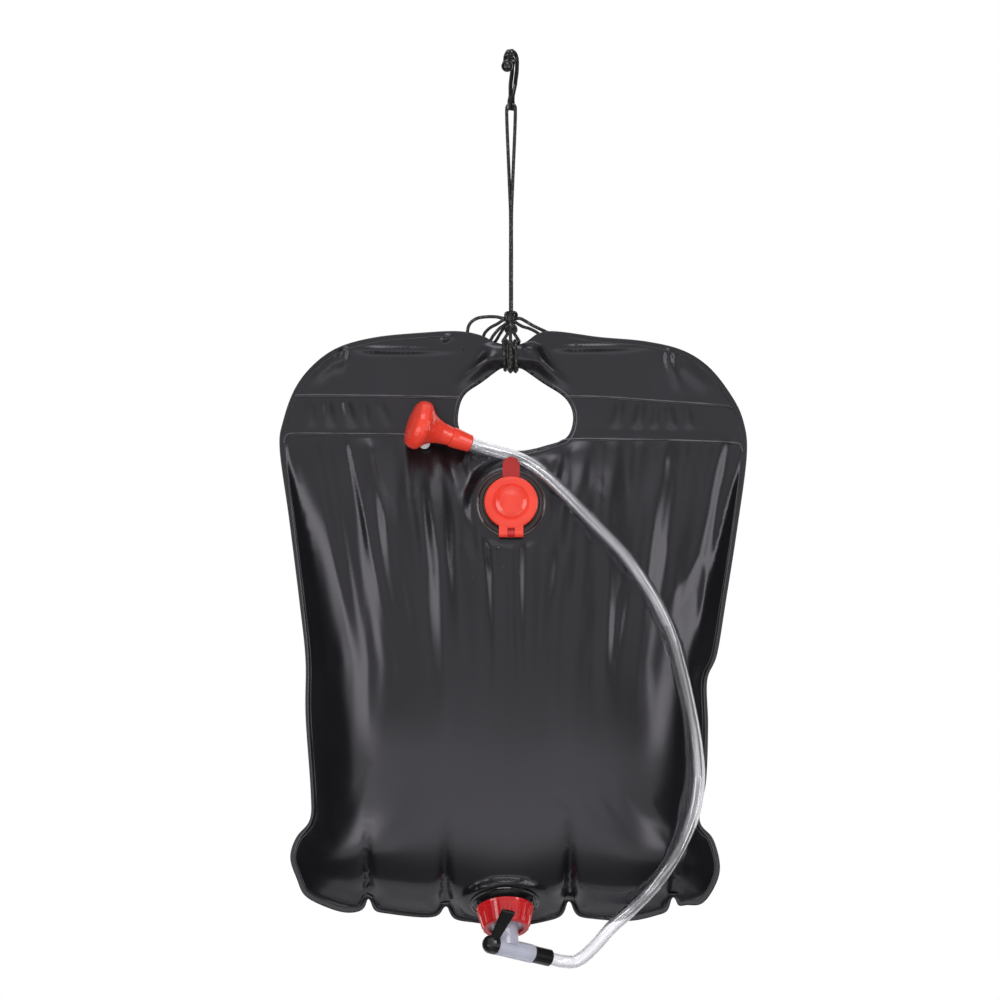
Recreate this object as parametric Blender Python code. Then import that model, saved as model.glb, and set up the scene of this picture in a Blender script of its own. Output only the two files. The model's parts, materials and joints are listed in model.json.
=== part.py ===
"""Camp shower bag.

A black welded film bag hangs by its gathered handle band from a cord and a plastic hook.
It has a filler lid on its front, a screw-capped outlet valve under its foot, and a clear
hose that runs from the valve up the front to a shower head held on a small clip.

Metres, +Z up. The origin is the inside of the hook's bend, where a branch or bar carries it.
The front of the bag faces -Y, and the cord hangs down the Z axis.
"""
import math

import bmesh
import bpy
from mathutils import Matrix, Vector
from mathutils.geometry import delaunay_2d_cdt

# Clearances and the film
SEAT_GAP = 0.0003
FILM = 0.0006
WELD = 0.004
OVERRUN = 0.002

# Bag: the outline is given as shares of half the width and of the height
BAG_WIDTH = 0.411
BAG_HEIGHT = 0.519
FRONT_DEPTH = 0.056
BACK_DEPTH = 0.066
SIDE_FULLNESS = 2.2
SIDE_ROUNDNESS = 0.85

# Handle hole, the band above it and the weld line under it
HOLE_WIDTH = 0.101
HOLE_HEIGHT = 0.0735
BAND_DROP = 0.2644
BAND_HALF_HEIGHT = 0.0103
BAND_HALF_DEPTH = 0.0052
BAND_REACH = 0.024
SEAM_DROP = 0.084
SEAM_DIP_REACH = 0.075

# Hook
HOOK_INNER_RADIUS = 0.0055
HOOK_BAR = 0.0046
HOOK_THICKNESS = 0.005
HOOK_CHAMFER = 0.0011
HOOK_BALL_RADIUS = 0.0044
HOOK_TIP_DROP = 0.0104
HOOK_TURN = math.radians(26.7)
EYE_DROP = 0.0472
EYE_BAR_HEIGHT = 0.0036
EYE_THICKNESS = 0.0034
EYE_WIDTH = 0.0104
EYE_HOLE_WIDTH = 0.0056
EYE_HOLE_HEIGHT = 0.0066

# Cord
CORD = 0.003
CORD_EYE_RADIUS = 0.0042
STRAND_OFFSET = 0.00175
KNOT_RISE = 0.0321
KNOT_RADIUS = 0.0062
KNOT_GROOVE = 0.0007
WRAP_TURNS = 4
WRAP_PITCH = 0.00345

# Filler: flange, neck, lid, hinge pin
FILLER_SPACE = 0.0165
FILLER_DEPTH = 0.0245
FILLER_TILT = math.radians(12)
FLANGE_RADIUS = 0.0304
FLANGE_THICKNESS = 0.0016
FLANGE_RIDGE = 0.0007
FLANGE_RIDGE_WIDTH = 0.0011
FLANGE_RIDGE_SHARES = (0.835, 0.925)
PAD_MARGIN = 0.0035
PAD_BLEND = 0.009
NECK_BORE = 0.0152
NECK_WALL = 0.0018
NECK_INSIDE = 0.008
NECK_RIM_RADIUS = 0.0214
NECK_RIM_HEIGHT = 0.006
LID_RADIUS = 0.0234
LID_UNDER = 0.0064
LID_PLATE = 0.0024
LID_SKIRT = 0.0014
LID_RECESS_RADIUS = 0.0163
LID_RECESS_DEPTH = 0.0009
LID_DOME_RADIUS = 0.0147
LID_DOME_HEIGHT = 0.0046
LID_WALL = 0.0016
PLUG_CLEARANCE = 0.0006
PLUG_TAPER = 0.0008
PLUG_TIP = 0.0016
TAB_WIDTH = 0.015
TAB_LENGTH = 0.0172
TAB_THICKNESS = 0.002
HINGE_DROP = 0.0277
HINGE_RISE = 0.0062
KNUCKLE_RADIUS = 0.0033
KNUCKLE_INNER = 0.0031
KNUCKLE_OUTER = 0.0106
PIN_RADIUS = 0.0011

# Outlet: flange with neck, gasket, screw cap
SPOUT_X = -0.0056
SPOUT_RISE = 0.0242
SPOUT_DEPTH = 0.030
SPOUT_TILT = math.radians(31)
SPOUT_LEAN = math.radians(-3)
SPOUT_BORE = 0.0140
SPOUT_NECK_RADIUS = 0.0192
SPOUT_COLLAR_RADIUS = 0.0225
SPOUT_COLLAR_HEIGHT = 0.0037
SPOUT_NECK_HEIGHT = 0.018
CAP_BACK = 0.0062
CAP_FRONT = 0.0255
CAP_BACK_RADIUS = 0.0252
CAP_FRONT_RADIUS = 0.0207
CAP_MOUTH_RADIUS = 0.0155
CAP_FRONT_WALL = 0.003
CAP_EDGE = 0.0012
CAP_RIBS = 18
CAP_RIB_HEIGHT = 0.0008
GASKET_THICKNESS = 0.0016
SHOULDER_THICKNESS = 0.0019

# Valve: body, plug with lever, seal, hose collar
CROSS_DROP = 0.044
CROSS_TURN = math.radians(34)
CROSS_RADIUS = 0.0082
CROSS_KNOB_END = 0.011
CROSS_HOSE_END = 0.026
STEM_RADIUS = 0.0105
STEM_BORE = 0.0045
PLUG_BORE = 0.006
PLUG_RADIUS = 0.0056
PLUG_END = 0.0072
WATERWAY = 0.0032
BARB_RADIUS = 0.0046
BARB_END = 0.0418
SEAL_RADIUS = 0.00055
SEAL_PLACE = 0.0078
SEAL_GROOVE = 0.0018
KNOB_RADIUS = 0.0084
KNOB_CENTRE = 0.0159
LEVER_LENGTH = 0.0355
LEVER_ANGLE = math.radians(57)
LEVER_ROOT_WIDTH = 0.0074
LEVER_TIP_WIDTH = 0.0132
LEVER_THICKNESS = 0.0036
LEVER_CHAMFER = 0.0009
COLLAR_RADIUS = 0.0076
COLLAR_END = 0.0443
COLLAR_EDGE = 0.0007

# Hose
HOSE = 0.012
HOSE_WALL = 0.0015

# Shower head: bell, spray plate, sleeve, clip
HEAD_ASIDE = 0.0884
HEAD_DEPTH = 0.0285
HEAD_DROP = 0.080
HEAD_SLOPE = math.radians(20)
HEAD_LEAN = math.radians(14)
HEAD_LENGTH = 0.058
BELL_LENGTH = 0.0384
BELL_RADIUS = 0.022
BELL_NECK_RADIUS = 0.0083
BELL_WALL = 0.0019
SPIGOT_RADIUS = 0.0062
SPIGOT_LENGTH = 0.0056
HEAD_BORE = 0.0046
PLATE_RADIUS = 0.0177
PLATE_THICKNESS = 0.002
PLATE_CROWN = 0.0022
PLATE_REBATE = 0.0026
SPRAY_HOLE = 0.0008
SPRAY_RINGS = ((1, 0.0), (6, 0.0055), (10, 0.0110))
SLEEVE_RADIUS = 0.0089
SLEEVE_END_RADIUS = 0.0076
SLEEVE_EDGE = 0.0008
CLIP_DEPTH = 0.0085
CLIP_ALONG_SHARE = 0.597
CLIP_ASIDE_SHARE = 0.395
CLIP_DOWN_SHARE = 0.609
CLIP_BASE_RADIUS = 0.006
CLIP_BASE_HEIGHT = 0.0015
CLIP_PEG_RADIUS = 0.0044
CLIP_PEG_HEIGHT = 0.0055
CLIP_EDGE = 0.001

TOP_DIP_SHARE = 0.022
FOOT_SHARE = 1.010
LOBE_SHARE = 0.900

# Heights that hang on others: the knot above the band, the bag's top and foot, the foot of the
# handle hole, and the middles of the filler and the outlet
KNOT_DROP = BAND_DROP - KNOT_RISE
TOP_Z = -BAND_DROP + BAND_HALF_HEIGHT - SEAT_GAP + TOP_DIP_SHARE * BAG_HEIGHT
FOOT_Z = TOP_Z - FOOT_SHARE * BAG_HEIGHT
HOLE_FOOT_Z = -BAND_DROP - BAND_HALF_HEIGHT - HOLE_HEIGHT
FILLER_Z = HOLE_FOOT_Z - FILLER_SPACE - FLANGE_RADIUS
SPOUT_Z = FOOT_Z + SPOUT_RISE

# Outline of the bag, once round from its left shoulder. First number: share of half the width,
# from the cord's line. Second: share of the height, from the top edge down.
OUTLINE_SHARES = (
    (-0.844, -0.056), (-0.737, -0.027), (-0.578, -0.010), (-0.364, -0.002), (-0.223, 0.0),
    (-0.128, -0.007), (-0.047, -TOP_DIP_SHARE), (0.047, -TOP_DIP_SHARE), (0.150, 0.0),
    (0.381, -0.010), (0.574, -0.017), (0.733, -0.032), (0.848, -0.061), (0.942, -0.108),
    (0.994, -0.151), (1.010, -0.210), (0.968, -0.337), (0.921, -0.456), (0.882, -0.549),
    (0.840, -0.592), (0.844, -0.668), (0.836, -0.761), (0.807, -0.829), (0.865, -0.860),
    (0.895, -0.905), (0.876, -0.939), (0.818, -0.971), (0.745, -0.973), (0.694, -0.962),
    (0.638, -0.988), (0.510, -1.000), (0.338, -0.995), (0.248, -0.973), (0.146, -1.000),
    (0.0, -FOOT_SHARE), (-0.154, -1.003), (-0.278, -0.981), (-0.390, -0.993), (-0.540, -0.986),
    (-0.608, -0.966), (-0.646, -0.983), (-0.711, -0.986), (-0.814, -0.973), (-0.886, -0.956),
    (-0.916, -0.930), (-0.946, -0.893), (-0.920, -0.858), (-0.862, -0.829), (-0.858, -0.780),
    (-0.880, -0.651), (-0.880, -0.558), (-0.904, -0.466), (-0.951, -0.317), (-0.991, -0.200),
    (-0.976, -0.152), (-0.925, -0.097),
)
# Handle hole, clockwise from the left of the band: shares of the hole's width and height,
# from the middle of the band's lower edge.
HOLE_SHARES = (
    (-0.080, 0.0), (-0.245, -0.175), (-0.410, -0.343), (-0.462, -0.595), (-0.440, -0.770),
    (-0.350, -0.905), (-0.105, -0.980), (0.105, -1.0), (0.314, -0.935), (0.488, -0.840),
    (0.541, -0.590), (0.470, -0.370), (0.275, -0.190), (0.080, 0.0),
)
# How far each sheet stands out, as a share of its depth, up the bag from its foot
SWELL_SHARES = (
    (0.0, 0.0), (0.020, 0.20), (0.048, 0.47), (0.084, 0.80), (0.15, 0.97), (0.30, 1.0),
    (0.45, 0.97), (0.60, 0.86), (0.75, 0.66), (0.86, 0.40), (0.94, 0.15), (1.0, 0.0),
)
BAND_RISE_SHARES = (-0.88, -0.5, 0.0, 0.5, 0.88)
BAND_SIDE_SHARES = (-1.0, -0.72, -0.46, -0.23, 0.0, 0.23, 0.46, 0.72, 1.0)
OUTLINE_STEP = 0.0150
GRID_STEP = 0.0215
GRID_MARGIN = 0.0110
GRID_ROWS = 20
ROW_POWER = 1.3
RIM_REACH = 0.014
PAD_SIDES = 16
SIDES = 32
FINE_SIDES = 20
BORE_SIDES = 16

# Free ends of cord tied in a bow: each route is a list of points from the knot and back to it,
# in metres from the knot's centre
BOW_ROUTES = {
    "bow_loop_large": (
        (-0.0063, -0.0010, 0.0006), (-0.0130, -0.0006, 0.0018), (-0.0210, 0.0010, 0.0020),
        (-0.0300, 0.0022, 0.0006), (-0.0362, 0.0034, -0.0040), (-0.0383, 0.0044, -0.0110),
        (-0.0370, 0.0046, -0.0190), (-0.0318, 0.0046, -0.0246), (-0.0246, 0.0048, -0.0250),
        (-0.0190, 0.0044, -0.0198), (-0.0152, 0.0030, -0.0140), (-0.0105, 0.0014, -0.0086),
        (-0.0049, 0.0007, -0.0043),
    ),
    "bow_loop_small": (
        (-0.0057, 0.0029, -0.0008), (-0.0118, 0.0056, -0.0040), (-0.0186, 0.0078, -0.0076),
        (-0.0236, 0.0086, -0.0130), (-0.0238, 0.0090, -0.0190), (-0.0192, 0.0092, -0.0226),
        (-0.0140, 0.0092, -0.0196), (-0.0104, 0.0080, -0.0140), (-0.0068, 0.0062, -0.0086),
        (-0.0029, 0.0040, -0.0042),
    ),
    "bow_loop_right": (
        (0.0063, -0.0006, 0.0003), (0.0122, -0.0002, -0.0016), (0.0186, 0.0010, -0.0054),
        (0.0256, 0.0026, -0.0088), (0.0330, 0.0042, -0.0124), (0.0380, 0.0046, -0.0180),
        (0.0362, 0.0050, -0.0238), (0.0298, 0.0058, -0.0236), (0.0246, 0.0062, -0.0176),
        (0.0186, 0.0062, -0.0116), (0.0118, 0.0052, -0.0066), (0.0052, 0.0029, -0.0026),
    ),
}

# Route of the clear hose, from the valve's collar to the head's sleeve: shares of half the
# bag's width, of the front's depth and of the bag's height, from the top edge down
HOSE_ROUTE_SHARES = (
    (0.2774, 0.3839, 1.0636), (0.3406, 0.3393, 1.0453), (0.4258, 0.3214, 1.0087),
    (0.5109, 0.3786, 0.9769), (0.5888, 0.5500, 0.9442), (0.6618, 0.5804, 0.9075),
    (0.7202, 0.5179, 0.8690), (0.7737, 0.3661, 0.8189), (0.7981, 0.3000, 0.7611),
    (0.7883, 0.3268, 0.7033), (0.7591, 0.3929, 0.6378), (0.7202, 0.5054, 0.5704),
    (0.6740, 0.6161, 0.5068), (0.5937, 0.6839, 0.4432), (0.4793, 0.6911, 0.3777),
    (0.3406, 0.6393, 0.3208), (0.2190, 0.5179, 0.2717), (0.1241, 0.4161, 0.2380),
    (0.0389, 0.3071, 0.2178), (-0.0535, 0.2679, 0.2066),
)


def material(name, colour, roughness, metallic=0.0, alpha=1.0):
    """A Principled material with one colour and finish."""
    made = bpy.data.materials.new(name)
    made.use_nodes = True
    shader = made.node_tree.nodes["Principled BSDF"]
    shader.inputs["Base Color"].default_value = (*colour, 1.0)
    shader.inputs["Roughness"].default_value = roughness
    shader.inputs["Metallic"].default_value = metallic
    shader.inputs["Alpha"].default_value = alpha
    return made


def empty(name, matrix, parent=None):
    """A frame that the pieces of one fitting are built in."""
    made = bpy.data.objects.new(name, None)
    bpy.context.collection.objects.link(made)
    made.parent = parent
    made.matrix_local = matrix
    return made


def add(name, data, finish=None, parent=None, matrix=None):
    """Link an object that holds data, with its finish and its place."""
    made = bpy.data.objects.new(name, data)
    bpy.context.collection.objects.link(made)
    if finish:
        data.materials.append(finish)
    made.parent = parent
    if matrix:
        made.matrix_local = matrix
    return made


def mesh_from(bm, name):
    """Close off a bmesh: faces out, smooth with sharp edges kept."""
    bmesh.ops.recalc_face_normals(bm, faces=bm.faces)
    mesh = bpy.data.meshes.new(name)
    bm.to_mesh(mesh)
    bm.free()
    mesh.shade_smooth()
    mesh.set_sharp_from_angle(angle=math.radians(35))
    return mesh


def turned(name, profile, sides=SIDES, ribs=None):
    """A solid turned round Z from a closed profile of (radius, height) points.

    ribs is (count, height, indices): the wall at those profile points gets that many ribs.
    """
    bm = bmesh.new()
    rings = []
    for index, (radius, height) in enumerate(profile):
        if radius <= 0:
            rings.append([bm.verts.new((0, 0, height))] * sides)
            continue
        ring = []
        for side in range(sides):
            angle = math.tau * side / sides
            reach = radius
            if ribs and index in ribs[2]:
                wave = math.cos(angle * ribs[0])
                reach += ribs[1] * max(wave, 0) ** 0.5
            ring.append(bm.verts.new((reach * math.cos(angle), reach * math.sin(angle), height)))
        rings.append(ring)
    for index, ring in enumerate(rings):
        above = rings[(index + 1) % len(rings)]
        if ring[0] is ring[1] and above[0] is above[1]:
            continue
        for side in range(sides):
            after = (side + 1) % sides
            corners = []
            for vert in (ring[side], ring[after], above[after], above[side]):
                if vert not in corners:
                    corners.append(vert)
            bm.faces.new(corners)
    return mesh_from(bm, name)


def lofted(name, rings):
    """A solid through a row of rings of points, closed at both ends."""
    bm = bmesh.new()
    loops = [[bm.verts.new(point) for point in ring] for ring in rings]
    for near, far in zip(loops, loops[1:]):
        for side in range(len(near)):
            after = (side + 1) % len(near)
            bm.faces.new((near[side], near[after], far[after], far[side]))
    bm.faces.new(loops[0][::-1])
    bm.faces.new(loops[-1])
    return mesh_from(bm, name)


def extruded(name, outline, low, high, axis="Z"):
    """A solid with a flat outline, from low to high along an axis."""
    place = {
        "Z": lambda a, b, t: (a, b, t),
        "Y": lambda a, b, t: (a, t, b),
        "X": lambda a, b, t: (t, a, b),
    }[axis]
    return lofted(name, [[place(a, b, t) for a, b in outline] for t in (low, high)])


def block(name, low, high):
    """A box between two corners."""
    outline = ((low[0], low[1]), (high[0], low[1]), (high[0], high[1]), (low[0], high[1]))
    return extruded(name, outline, low[2], high[2])


def cut_rectangle(width, height, chamfer):
    """Eight corners of a rectangle with its corners cut off."""
    across = width / 2
    up = height / 2
    return (
        (across - chamfer, -up), (across, chamfer - up), (across, up - chamfer),
        (across - chamfer, up), (chamfer - across, up), (-across, up - chamfer),
        (-across, chamfer - up), (chamfer - across, -up),
    )


def helper(name, mesh, parent=None, matrix=None):
    """A shape that only adds to or cuts another."""
    made = add(name, mesh, None, parent, matrix)
    made.hide_render = True
    made.display_type = "WIRE"
    return made


def boolean(target, other, operation):
    """Add or cut a helper shape."""
    step = target.modifiers.new(f"{operation.lower()}_{other.name}", "BOOLEAN")
    step.operation = operation
    step.solver = "EXACT"
    step.object = other


def spline(points, steps, closed=False):
    """Points of a Catmull-Rom curve through the given points, with steps spans between each pair."""
    given = [Vector(point) for point in points]
    count = len(given)
    if closed:
        row = [given[-1]] + given + given[:2]
        spans = count
    else:
        row = [given[0] * 2 - given[1]] + given + [given[-1] * 2 - given[-2]]
        spans = count - 1
    curve = []
    for span in range(spans):
        a, b, c, d = row[span:span + 4]
        for step in range(steps):
            t = step / steps
            curve.append((b * 2 + (c - a) * t + (a * 2 - b * 5 + c * 4 - d) * t * t
                          + (b * 3 - a - c * 3 + d) * t * t * t) / 2)
    if not closed:
        curve.append(given[-1].copy())
    return curve


def smooth(value, low, high):
    """0 below low, 1 above high, and an S curve between."""
    t = min(max((value - low) / (high - low), 0.0), 1.0)
    return t * t * (3 - 2 * t)


def tube(name, points, diameter, resolution, finish, parent=None):
    """A cord or hose: a round tube along a row of points, with closed ends."""
    curve = bpy.data.curves.new(name, "CURVE")
    curve.dimensions = "3D"
    curve.bevel_depth = diameter / 2
    curve.bevel_resolution = resolution
    curve.use_fill_caps = True
    row = curve.splines.new("POLY")
    row.points.add(len(points) - 1)
    for knot, point in zip(row.points, points):
        knot.co = (*point, 1.0)
    return add(name, curve, finish, parent)


def toward(direction, place):
    """A frame at a place, with its Z axis along a direction."""
    turn = Vector(direction).to_track_quat("Z", "Y").to_matrix().to_4x4()
    return Matrix.Translation(Vector(place)) @ turn


# Surface of the bag

def even_points(curve, step):
    """Points at even spacing along a closed row of points."""
    row = curve + [curve[0]]
    lengths = [0.0]
    for near, far in zip(row, row[1:]):
        lengths.append(lengths[-1] + (far - near).length)
    count = round(lengths[-1] / step)
    points = []
    index = 1
    for place in range(count):
        goal = lengths[-1] * place / count
        while lengths[index] < goal:
            index += 1
        part = (goal - lengths[index - 1]) / (lengths[index] - lengths[index - 1])
        points.append(row[index - 1].lerp(row[index], part))
    return points


def bag_outline():
    """Edge of the bag in its own plane, once round."""
    points = [
        Vector((x * BAG_WIDTH / 2, TOP_Z + z * BAG_HEIGHT)) for x, z in OUTLINE_SHARES
    ]
    return even_points(spline(points, 8, True), OUTLINE_STEP)


def hole_outline():
    """Edge of the handle hole in the bag's plane, once round from the band's lower left."""
    top = -BAND_DROP - BAND_HALF_HEIGHT
    points = [Vector((x * HOLE_WIDTH, top + z * HOLE_HEIGHT)) for x, z in HOLE_SHARES]
    return spline(points, 3)


def crossings(outline, axis, at):
    """Places where a closed outline passes a line at a value of one coordinate, in order."""
    found = []
    for near, far in zip(outline, outline[1:] + outline[:1]):
        if (near[axis] < at) != (far[axis] < at):
            part = (at - near[axis]) / (far[axis] - near[axis])
            found.append(near[1 - axis] + (far[1 - axis] - near[1 - axis]) * part)
    return sorted(found)


def edge_distance(outline, spot):
    """Distance from a spot to the nearest edge of a closed outline."""
    least = BAG_WIDTH
    for near, far in zip(outline, outline[1:] + outline[:1]):
        span = far - near
        part = min(max((spot - near).dot(span) / span.length_squared, 0.0), 1.0)
        least = min(least, (near + span * part - spot).length)
    return least


def inside(outline, spot):
    """Whether a spot lies inside a closed outline."""
    return sum(place < spot.x for place in crossings(outline, 1, spot.y)) % 2 == 1


def table_value(table, at):
    """Read a smooth curve through a table of (place, value) pairs."""
    for index in range(1, len(table)):
        if at <= table[index][0]:
            break
    before = table[max(index - 2, 0)]
    low = table[index - 1]
    high = table[index]
    after = table[min(index + 1, len(table) - 1)]
    span = high[0] - low[0]
    t = (at - low[0]) / span
    slope_low = span * (high[1] - before[1]) / (high[0] - before[0])
    slope_high = span * (after[1] - low[1]) / (after[0] - low[0])
    return (
        (2 * t ** 3 - 3 * t ** 2 + 1) * low[1] + (t ** 3 - 2 * t ** 2 + t) * slope_low
        + (3 * t ** 2 - 2 * t ** 3) * high[1] + (t ** 3 - t ** 2) * slope_high
    )


def seam_height(x):
    """Height of the weld that ends the water space; it dips under the handle hole."""
    side = TOP_Z - SEAM_DROP
    middle = HOLE_FOOT_Z - WELD
    return middle + (side - middle) * smooth(abs(x), 0, SEAM_DIP_REACH)


def film_depth(spot, outline):
    """How far one sheet stands out from the bag's plane at a spot, as a share of its depth."""
    feet = crossings(outline, 0, spot.x)
    sides = crossings(outline, 1, spot.y)
    if not feet or not sides:
        return 0.0
    # Outside the lobes an upright line leaves the outline high up, so their height is its foot
    foot = min(feet[0], TOP_Z - LOBE_SHARE * BAG_HEIGHT)
    up = (spot.y - foot) / (seam_height(spot.x) - foot)
    if not 0 < up < 1:
        return 0.0
    half = (sides[-1] - sides[0]) / 2
    aside = abs(spot.x - (sides[0] + sides[-1]) / 2) / half
    across = (1 - min(aside, 1.0) ** SIDE_FULLNESS) ** SIDE_ROUNDNESS
    rim = min(max((edge_distance(outline, spot) - WELD) / RIM_REACH, 0.0), 1.0)
    return across * table_value(SWELL_SHARES, up) * math.sqrt(1 - (1 - rim) ** 2)


def film_height(spot, outline, side, pads):
    """Y of one sheet's inner face at a spot. side is -1 at the front and 1 behind."""
    depth = (FRONT_DEPTH if side < 0 else BACK_DEPTH) * film_depth(spot, outline)
    rise = (spot.y + BAND_DROP) / BAND_HALF_HEIGHT
    if abs(rise) < 1:
        gather = math.exp(-(spot.x / BAND_REACH) ** 4) * math.sqrt(1 - rise * rise)
        depth = max(depth, (BAND_HALF_DEPTH - FILM) * gather)
    y = side * (SEAT_GAP / 2 + depth)
    for frame, _ in pads:
        normal = frame.matrix_world.to_3x3() @ Vector((0, 0, 1))
        base = frame.matrix_world.translation - normal * FILM
        flat = base.y - ((spot.x - base.x) * normal.x + (spot.y - base.z) * normal.z) / normal.y
        away = (Vector((spot.x, flat, spot.y)) - base).length
        reach = FLANGE_RADIUS + PAD_MARGIN
        share = 1 - smooth(away, reach, reach + PAD_BLEND)
        y = y * (1 - share) + min(flat, side * SEAT_GAP / 2) * share
    return y


def pad_ring(frame, radius):
    """A polygon just outside a circle round a fitting, seen in the bag's plane."""
    ring = []
    radius = radius / math.cos(math.pi / PAD_SIDES)
    for step in range(PAD_SIDES):
        angle = math.tau * step / PAD_SIDES
        point = frame.matrix_world @ Vector((
            radius * math.cos(angle), radius * math.sin(angle), -FILM,
        ))
        ring.append(Vector((point.x, point.z)))
    return ring


def film_spots(outline, holes, pads):
    """Points that a sheet's faces join, besides its edges."""
    spots = []
    for index, point in enumerate(outline):
        along = (outline[(index + 1) % len(outline)] - outline[index - 1]).normalized()
        spots.append(point + Vector((along.y, -along.x)) * WELD)
    for side_share in BAND_SIDE_SHARES:
        for rise_share in BAND_RISE_SHARES:
            spots.append(Vector((
                side_share * BAND_REACH, rise_share * BAND_HALF_HEIGHT - BAND_DROP,
            )))
    for frame, _ in pads:
        spots += pad_ring(frame, FLANGE_RADIUS + SEAT_GAP)
        for spot in pad_ring(frame, FLANGE_RADIUS + PAD_MARGIN + PAD_BLEND):
            if inside(outline, spot) and edge_distance(outline, spot) > 2 * WELD:
                spots.append(spot)
    columns = math.ceil(BAG_WIDTH / 2 / GRID_STEP)
    for row in range(1, GRID_ROWS):
        height = FOOT_Z + (TOP_Z - FOOT_Z) * (row / GRID_ROWS) ** ROW_POWER
        for column in range(-columns, columns + 1):
            spot = Vector(((column + row % 2 / 2) * GRID_STEP, height))
            clear = inside(outline, spot) and edge_distance(outline, spot) > GRID_MARGIN
            for frame, _ in pads:
                rim = pad_ring(frame, FLANGE_RADIUS + 2 * PAD_MARGIN + PAD_BLEND)
                clear = clear and not inside(rim, spot)
            if abs(spot.x) < BAND_REACH + GRID_MARGIN:
                clear = clear and abs(height + BAND_DROP) > BAND_HALF_HEIGHT + WELD
            for hole in holes:
                clear = clear and edge_distance(hole, spot) > WELD
            if clear:
                spots.append(spot)
    return spots


def sheet(name, side, finish, pads):
    """One film sheet of the bag with its holes, from its edges and the points between them."""
    outline = bag_outline()
    holes = [hole_outline()] + [pad_ring(frame, radius) for frame, radius in pads]
    loops = [outline] + holes
    flat = [spot for loop in loops for spot in loop]
    edges = []
    start = 0
    for loop in loops:
        count = len(loop)
        edges += [(start + step, start + (step + 1) % count) for step in range(count)]
        start += count
    flat += film_spots(outline, holes, pads)
    spots, _, faces = delaunay_2d_cdt(flat, edges, [], 0, WELD / 1000)[:3]
    kept = []
    for face in faces:
        middle = sum((spots[corner] for corner in face), Vector((0, 0))) / 3
        if inside(outline, middle) and not any(inside(hole, middle) for hole in holes):
            kept.append(face if side < 0 else face[::-1])
    inner = [Vector((spot.x, film_height(spot, outline, side, pads), spot.y)) for spot in spots]
    normals = [Vector() for _ in inner]
    uses = {}
    for face in kept:
        a, b, c = (inner[corner] for corner in face)
        for corner in face:
            normals[corner] += (b - a).cross(c - a).normalized()
        for near, far in zip(face, face[1:] + face[:1]):
            uses[(near, far)] = uses.get((near, far), 0) + 1
    bm = bmesh.new()
    low = [bm.verts.new(point) for point in inner]
    high = []
    for point, normal in zip(inner, normals):
        if abs(point.y) <= SEAT_GAP / 2:
            normal = Vector((0, side, 0))
        high.append(bm.verts.new(point + normal.normalized() * FILM))
    for face in kept:
        bm.faces.new([low[corner] for corner in reversed(face)])
        bm.faces.new([high[corner] for corner in face])
    for near, far in uses:
        if (far, near) not in uses:
            bm.faces.new((low[near], low[far], high[far], high[near]))
    bmesh.ops.delete(bm, geom=[vert for vert in bm.verts if not vert.link_faces], context="VERTS")
    return add(name, mesh_from(bm, name), finish)


# Clear the scene
for old in list(bpy.data.objects):
    bpy.data.objects.remove(old, do_unlink=True)

BLACK_FILM = material("black_film", (0.018, 0.017, 0.020), 0.32)
BLACK_PLASTIC = material("black_plastic", (0.012, 0.012, 0.013), 0.22)
BLACK_CORD = material("black_cord", (0.02, 0.019, 0.02), 0.8)
BRIGHT_RED = material("bright_red", (0.95, 0.05, 0.02), 0.25)
DEEP_RED = material("deep_red", (0.75, 0.015, 0.02), 0.3)
MILKY = material("milky_plastic", (0.62, 0.62, 0.72), 0.3, alpha=0.9)
RUBBER = material("seal_rubber", (0.03, 0.03, 0.03), 0.7)
CLEAR = material("clear_hose", (0.85, 0.85, 0.9), 0.1, alpha=0.4)
WHITE = material("white_plastic", (0.85, 0.85, 0.85), 0.3)

# Frames of the fittings
FILLER = empty(
    "filler_frame",
    Matrix.Translation((0, -FILLER_DEPTH, FILLER_Z))
    @ Matrix.Rotation(math.pi / 2 - FILLER_TILT, 4, "X"),
)
SPOUT = empty(
    "spout_frame",
    Matrix.Translation((SPOUT_X, -SPOUT_DEPTH, SPOUT_Z))
    @ Matrix.Rotation(SPOUT_LEAN, 4, "Y")
    @ Matrix.Rotation(math.pi - SPOUT_TILT, 4, "X"),
)
CROSS_Z = Vector((math.cos(CROSS_TURN), -math.sin(CROSS_TURN), 0))
CROSS_X = Vector((0, 0, -1))
CROSS_AXES = Matrix((CROSS_X, CROSS_Z.cross(CROSS_X), CROSS_Z)).transposed().to_4x4()
CROSS = empty("cross_frame", Matrix.Translation((0, 0, CROSS_DROP)) @ CROSS_AXES, SPOUT)
HEAD_AXIS = Vector((
    math.cos(HEAD_SLOPE) * math.cos(HEAD_LEAN),
    math.sin(HEAD_LEAN),
    -math.sin(HEAD_SLOPE) * math.cos(HEAD_LEAN),
))
HEAD = empty("head_frame", toward(HEAD_AXIS, (-HEAD_ASIDE, -HEAD_DEPTH, TOP_Z - HEAD_DROP)))
bpy.context.view_layer.update()


def build_bag():
    """Front and back sheets, welded round the edge and along the header."""
    neck = NECK_BORE + NECK_WALL + SEAT_GAP
    sheet("front_sheet", -1, BLACK_FILM, ((FILLER, neck), (SPOUT, SPOUT_BORE)))
    sheet("back_sheet", 1, BLACK_FILM, ())


def flange_profile(inner, ridges):
    """Welded flange: a thin disc with raised rings, from its bore outwards and back."""
    low = SEAT_GAP
    high = SEAT_GAP + FLANGE_THICKNESS
    points = [(inner, low), (inner, high)]
    for share in ridges:
        radius = share * FLANGE_RADIUS
        points += [
            (radius - FLANGE_RIDGE_WIDTH / 2, high), (radius, high + FLANGE_RIDGE),
            (radius + FLANGE_RIDGE_WIDTH / 2, high),
        ]
    return points + [(FLANGE_RADIUS, high - FLANGE_RIDGE), (FLANGE_RADIUS, low)]


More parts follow.
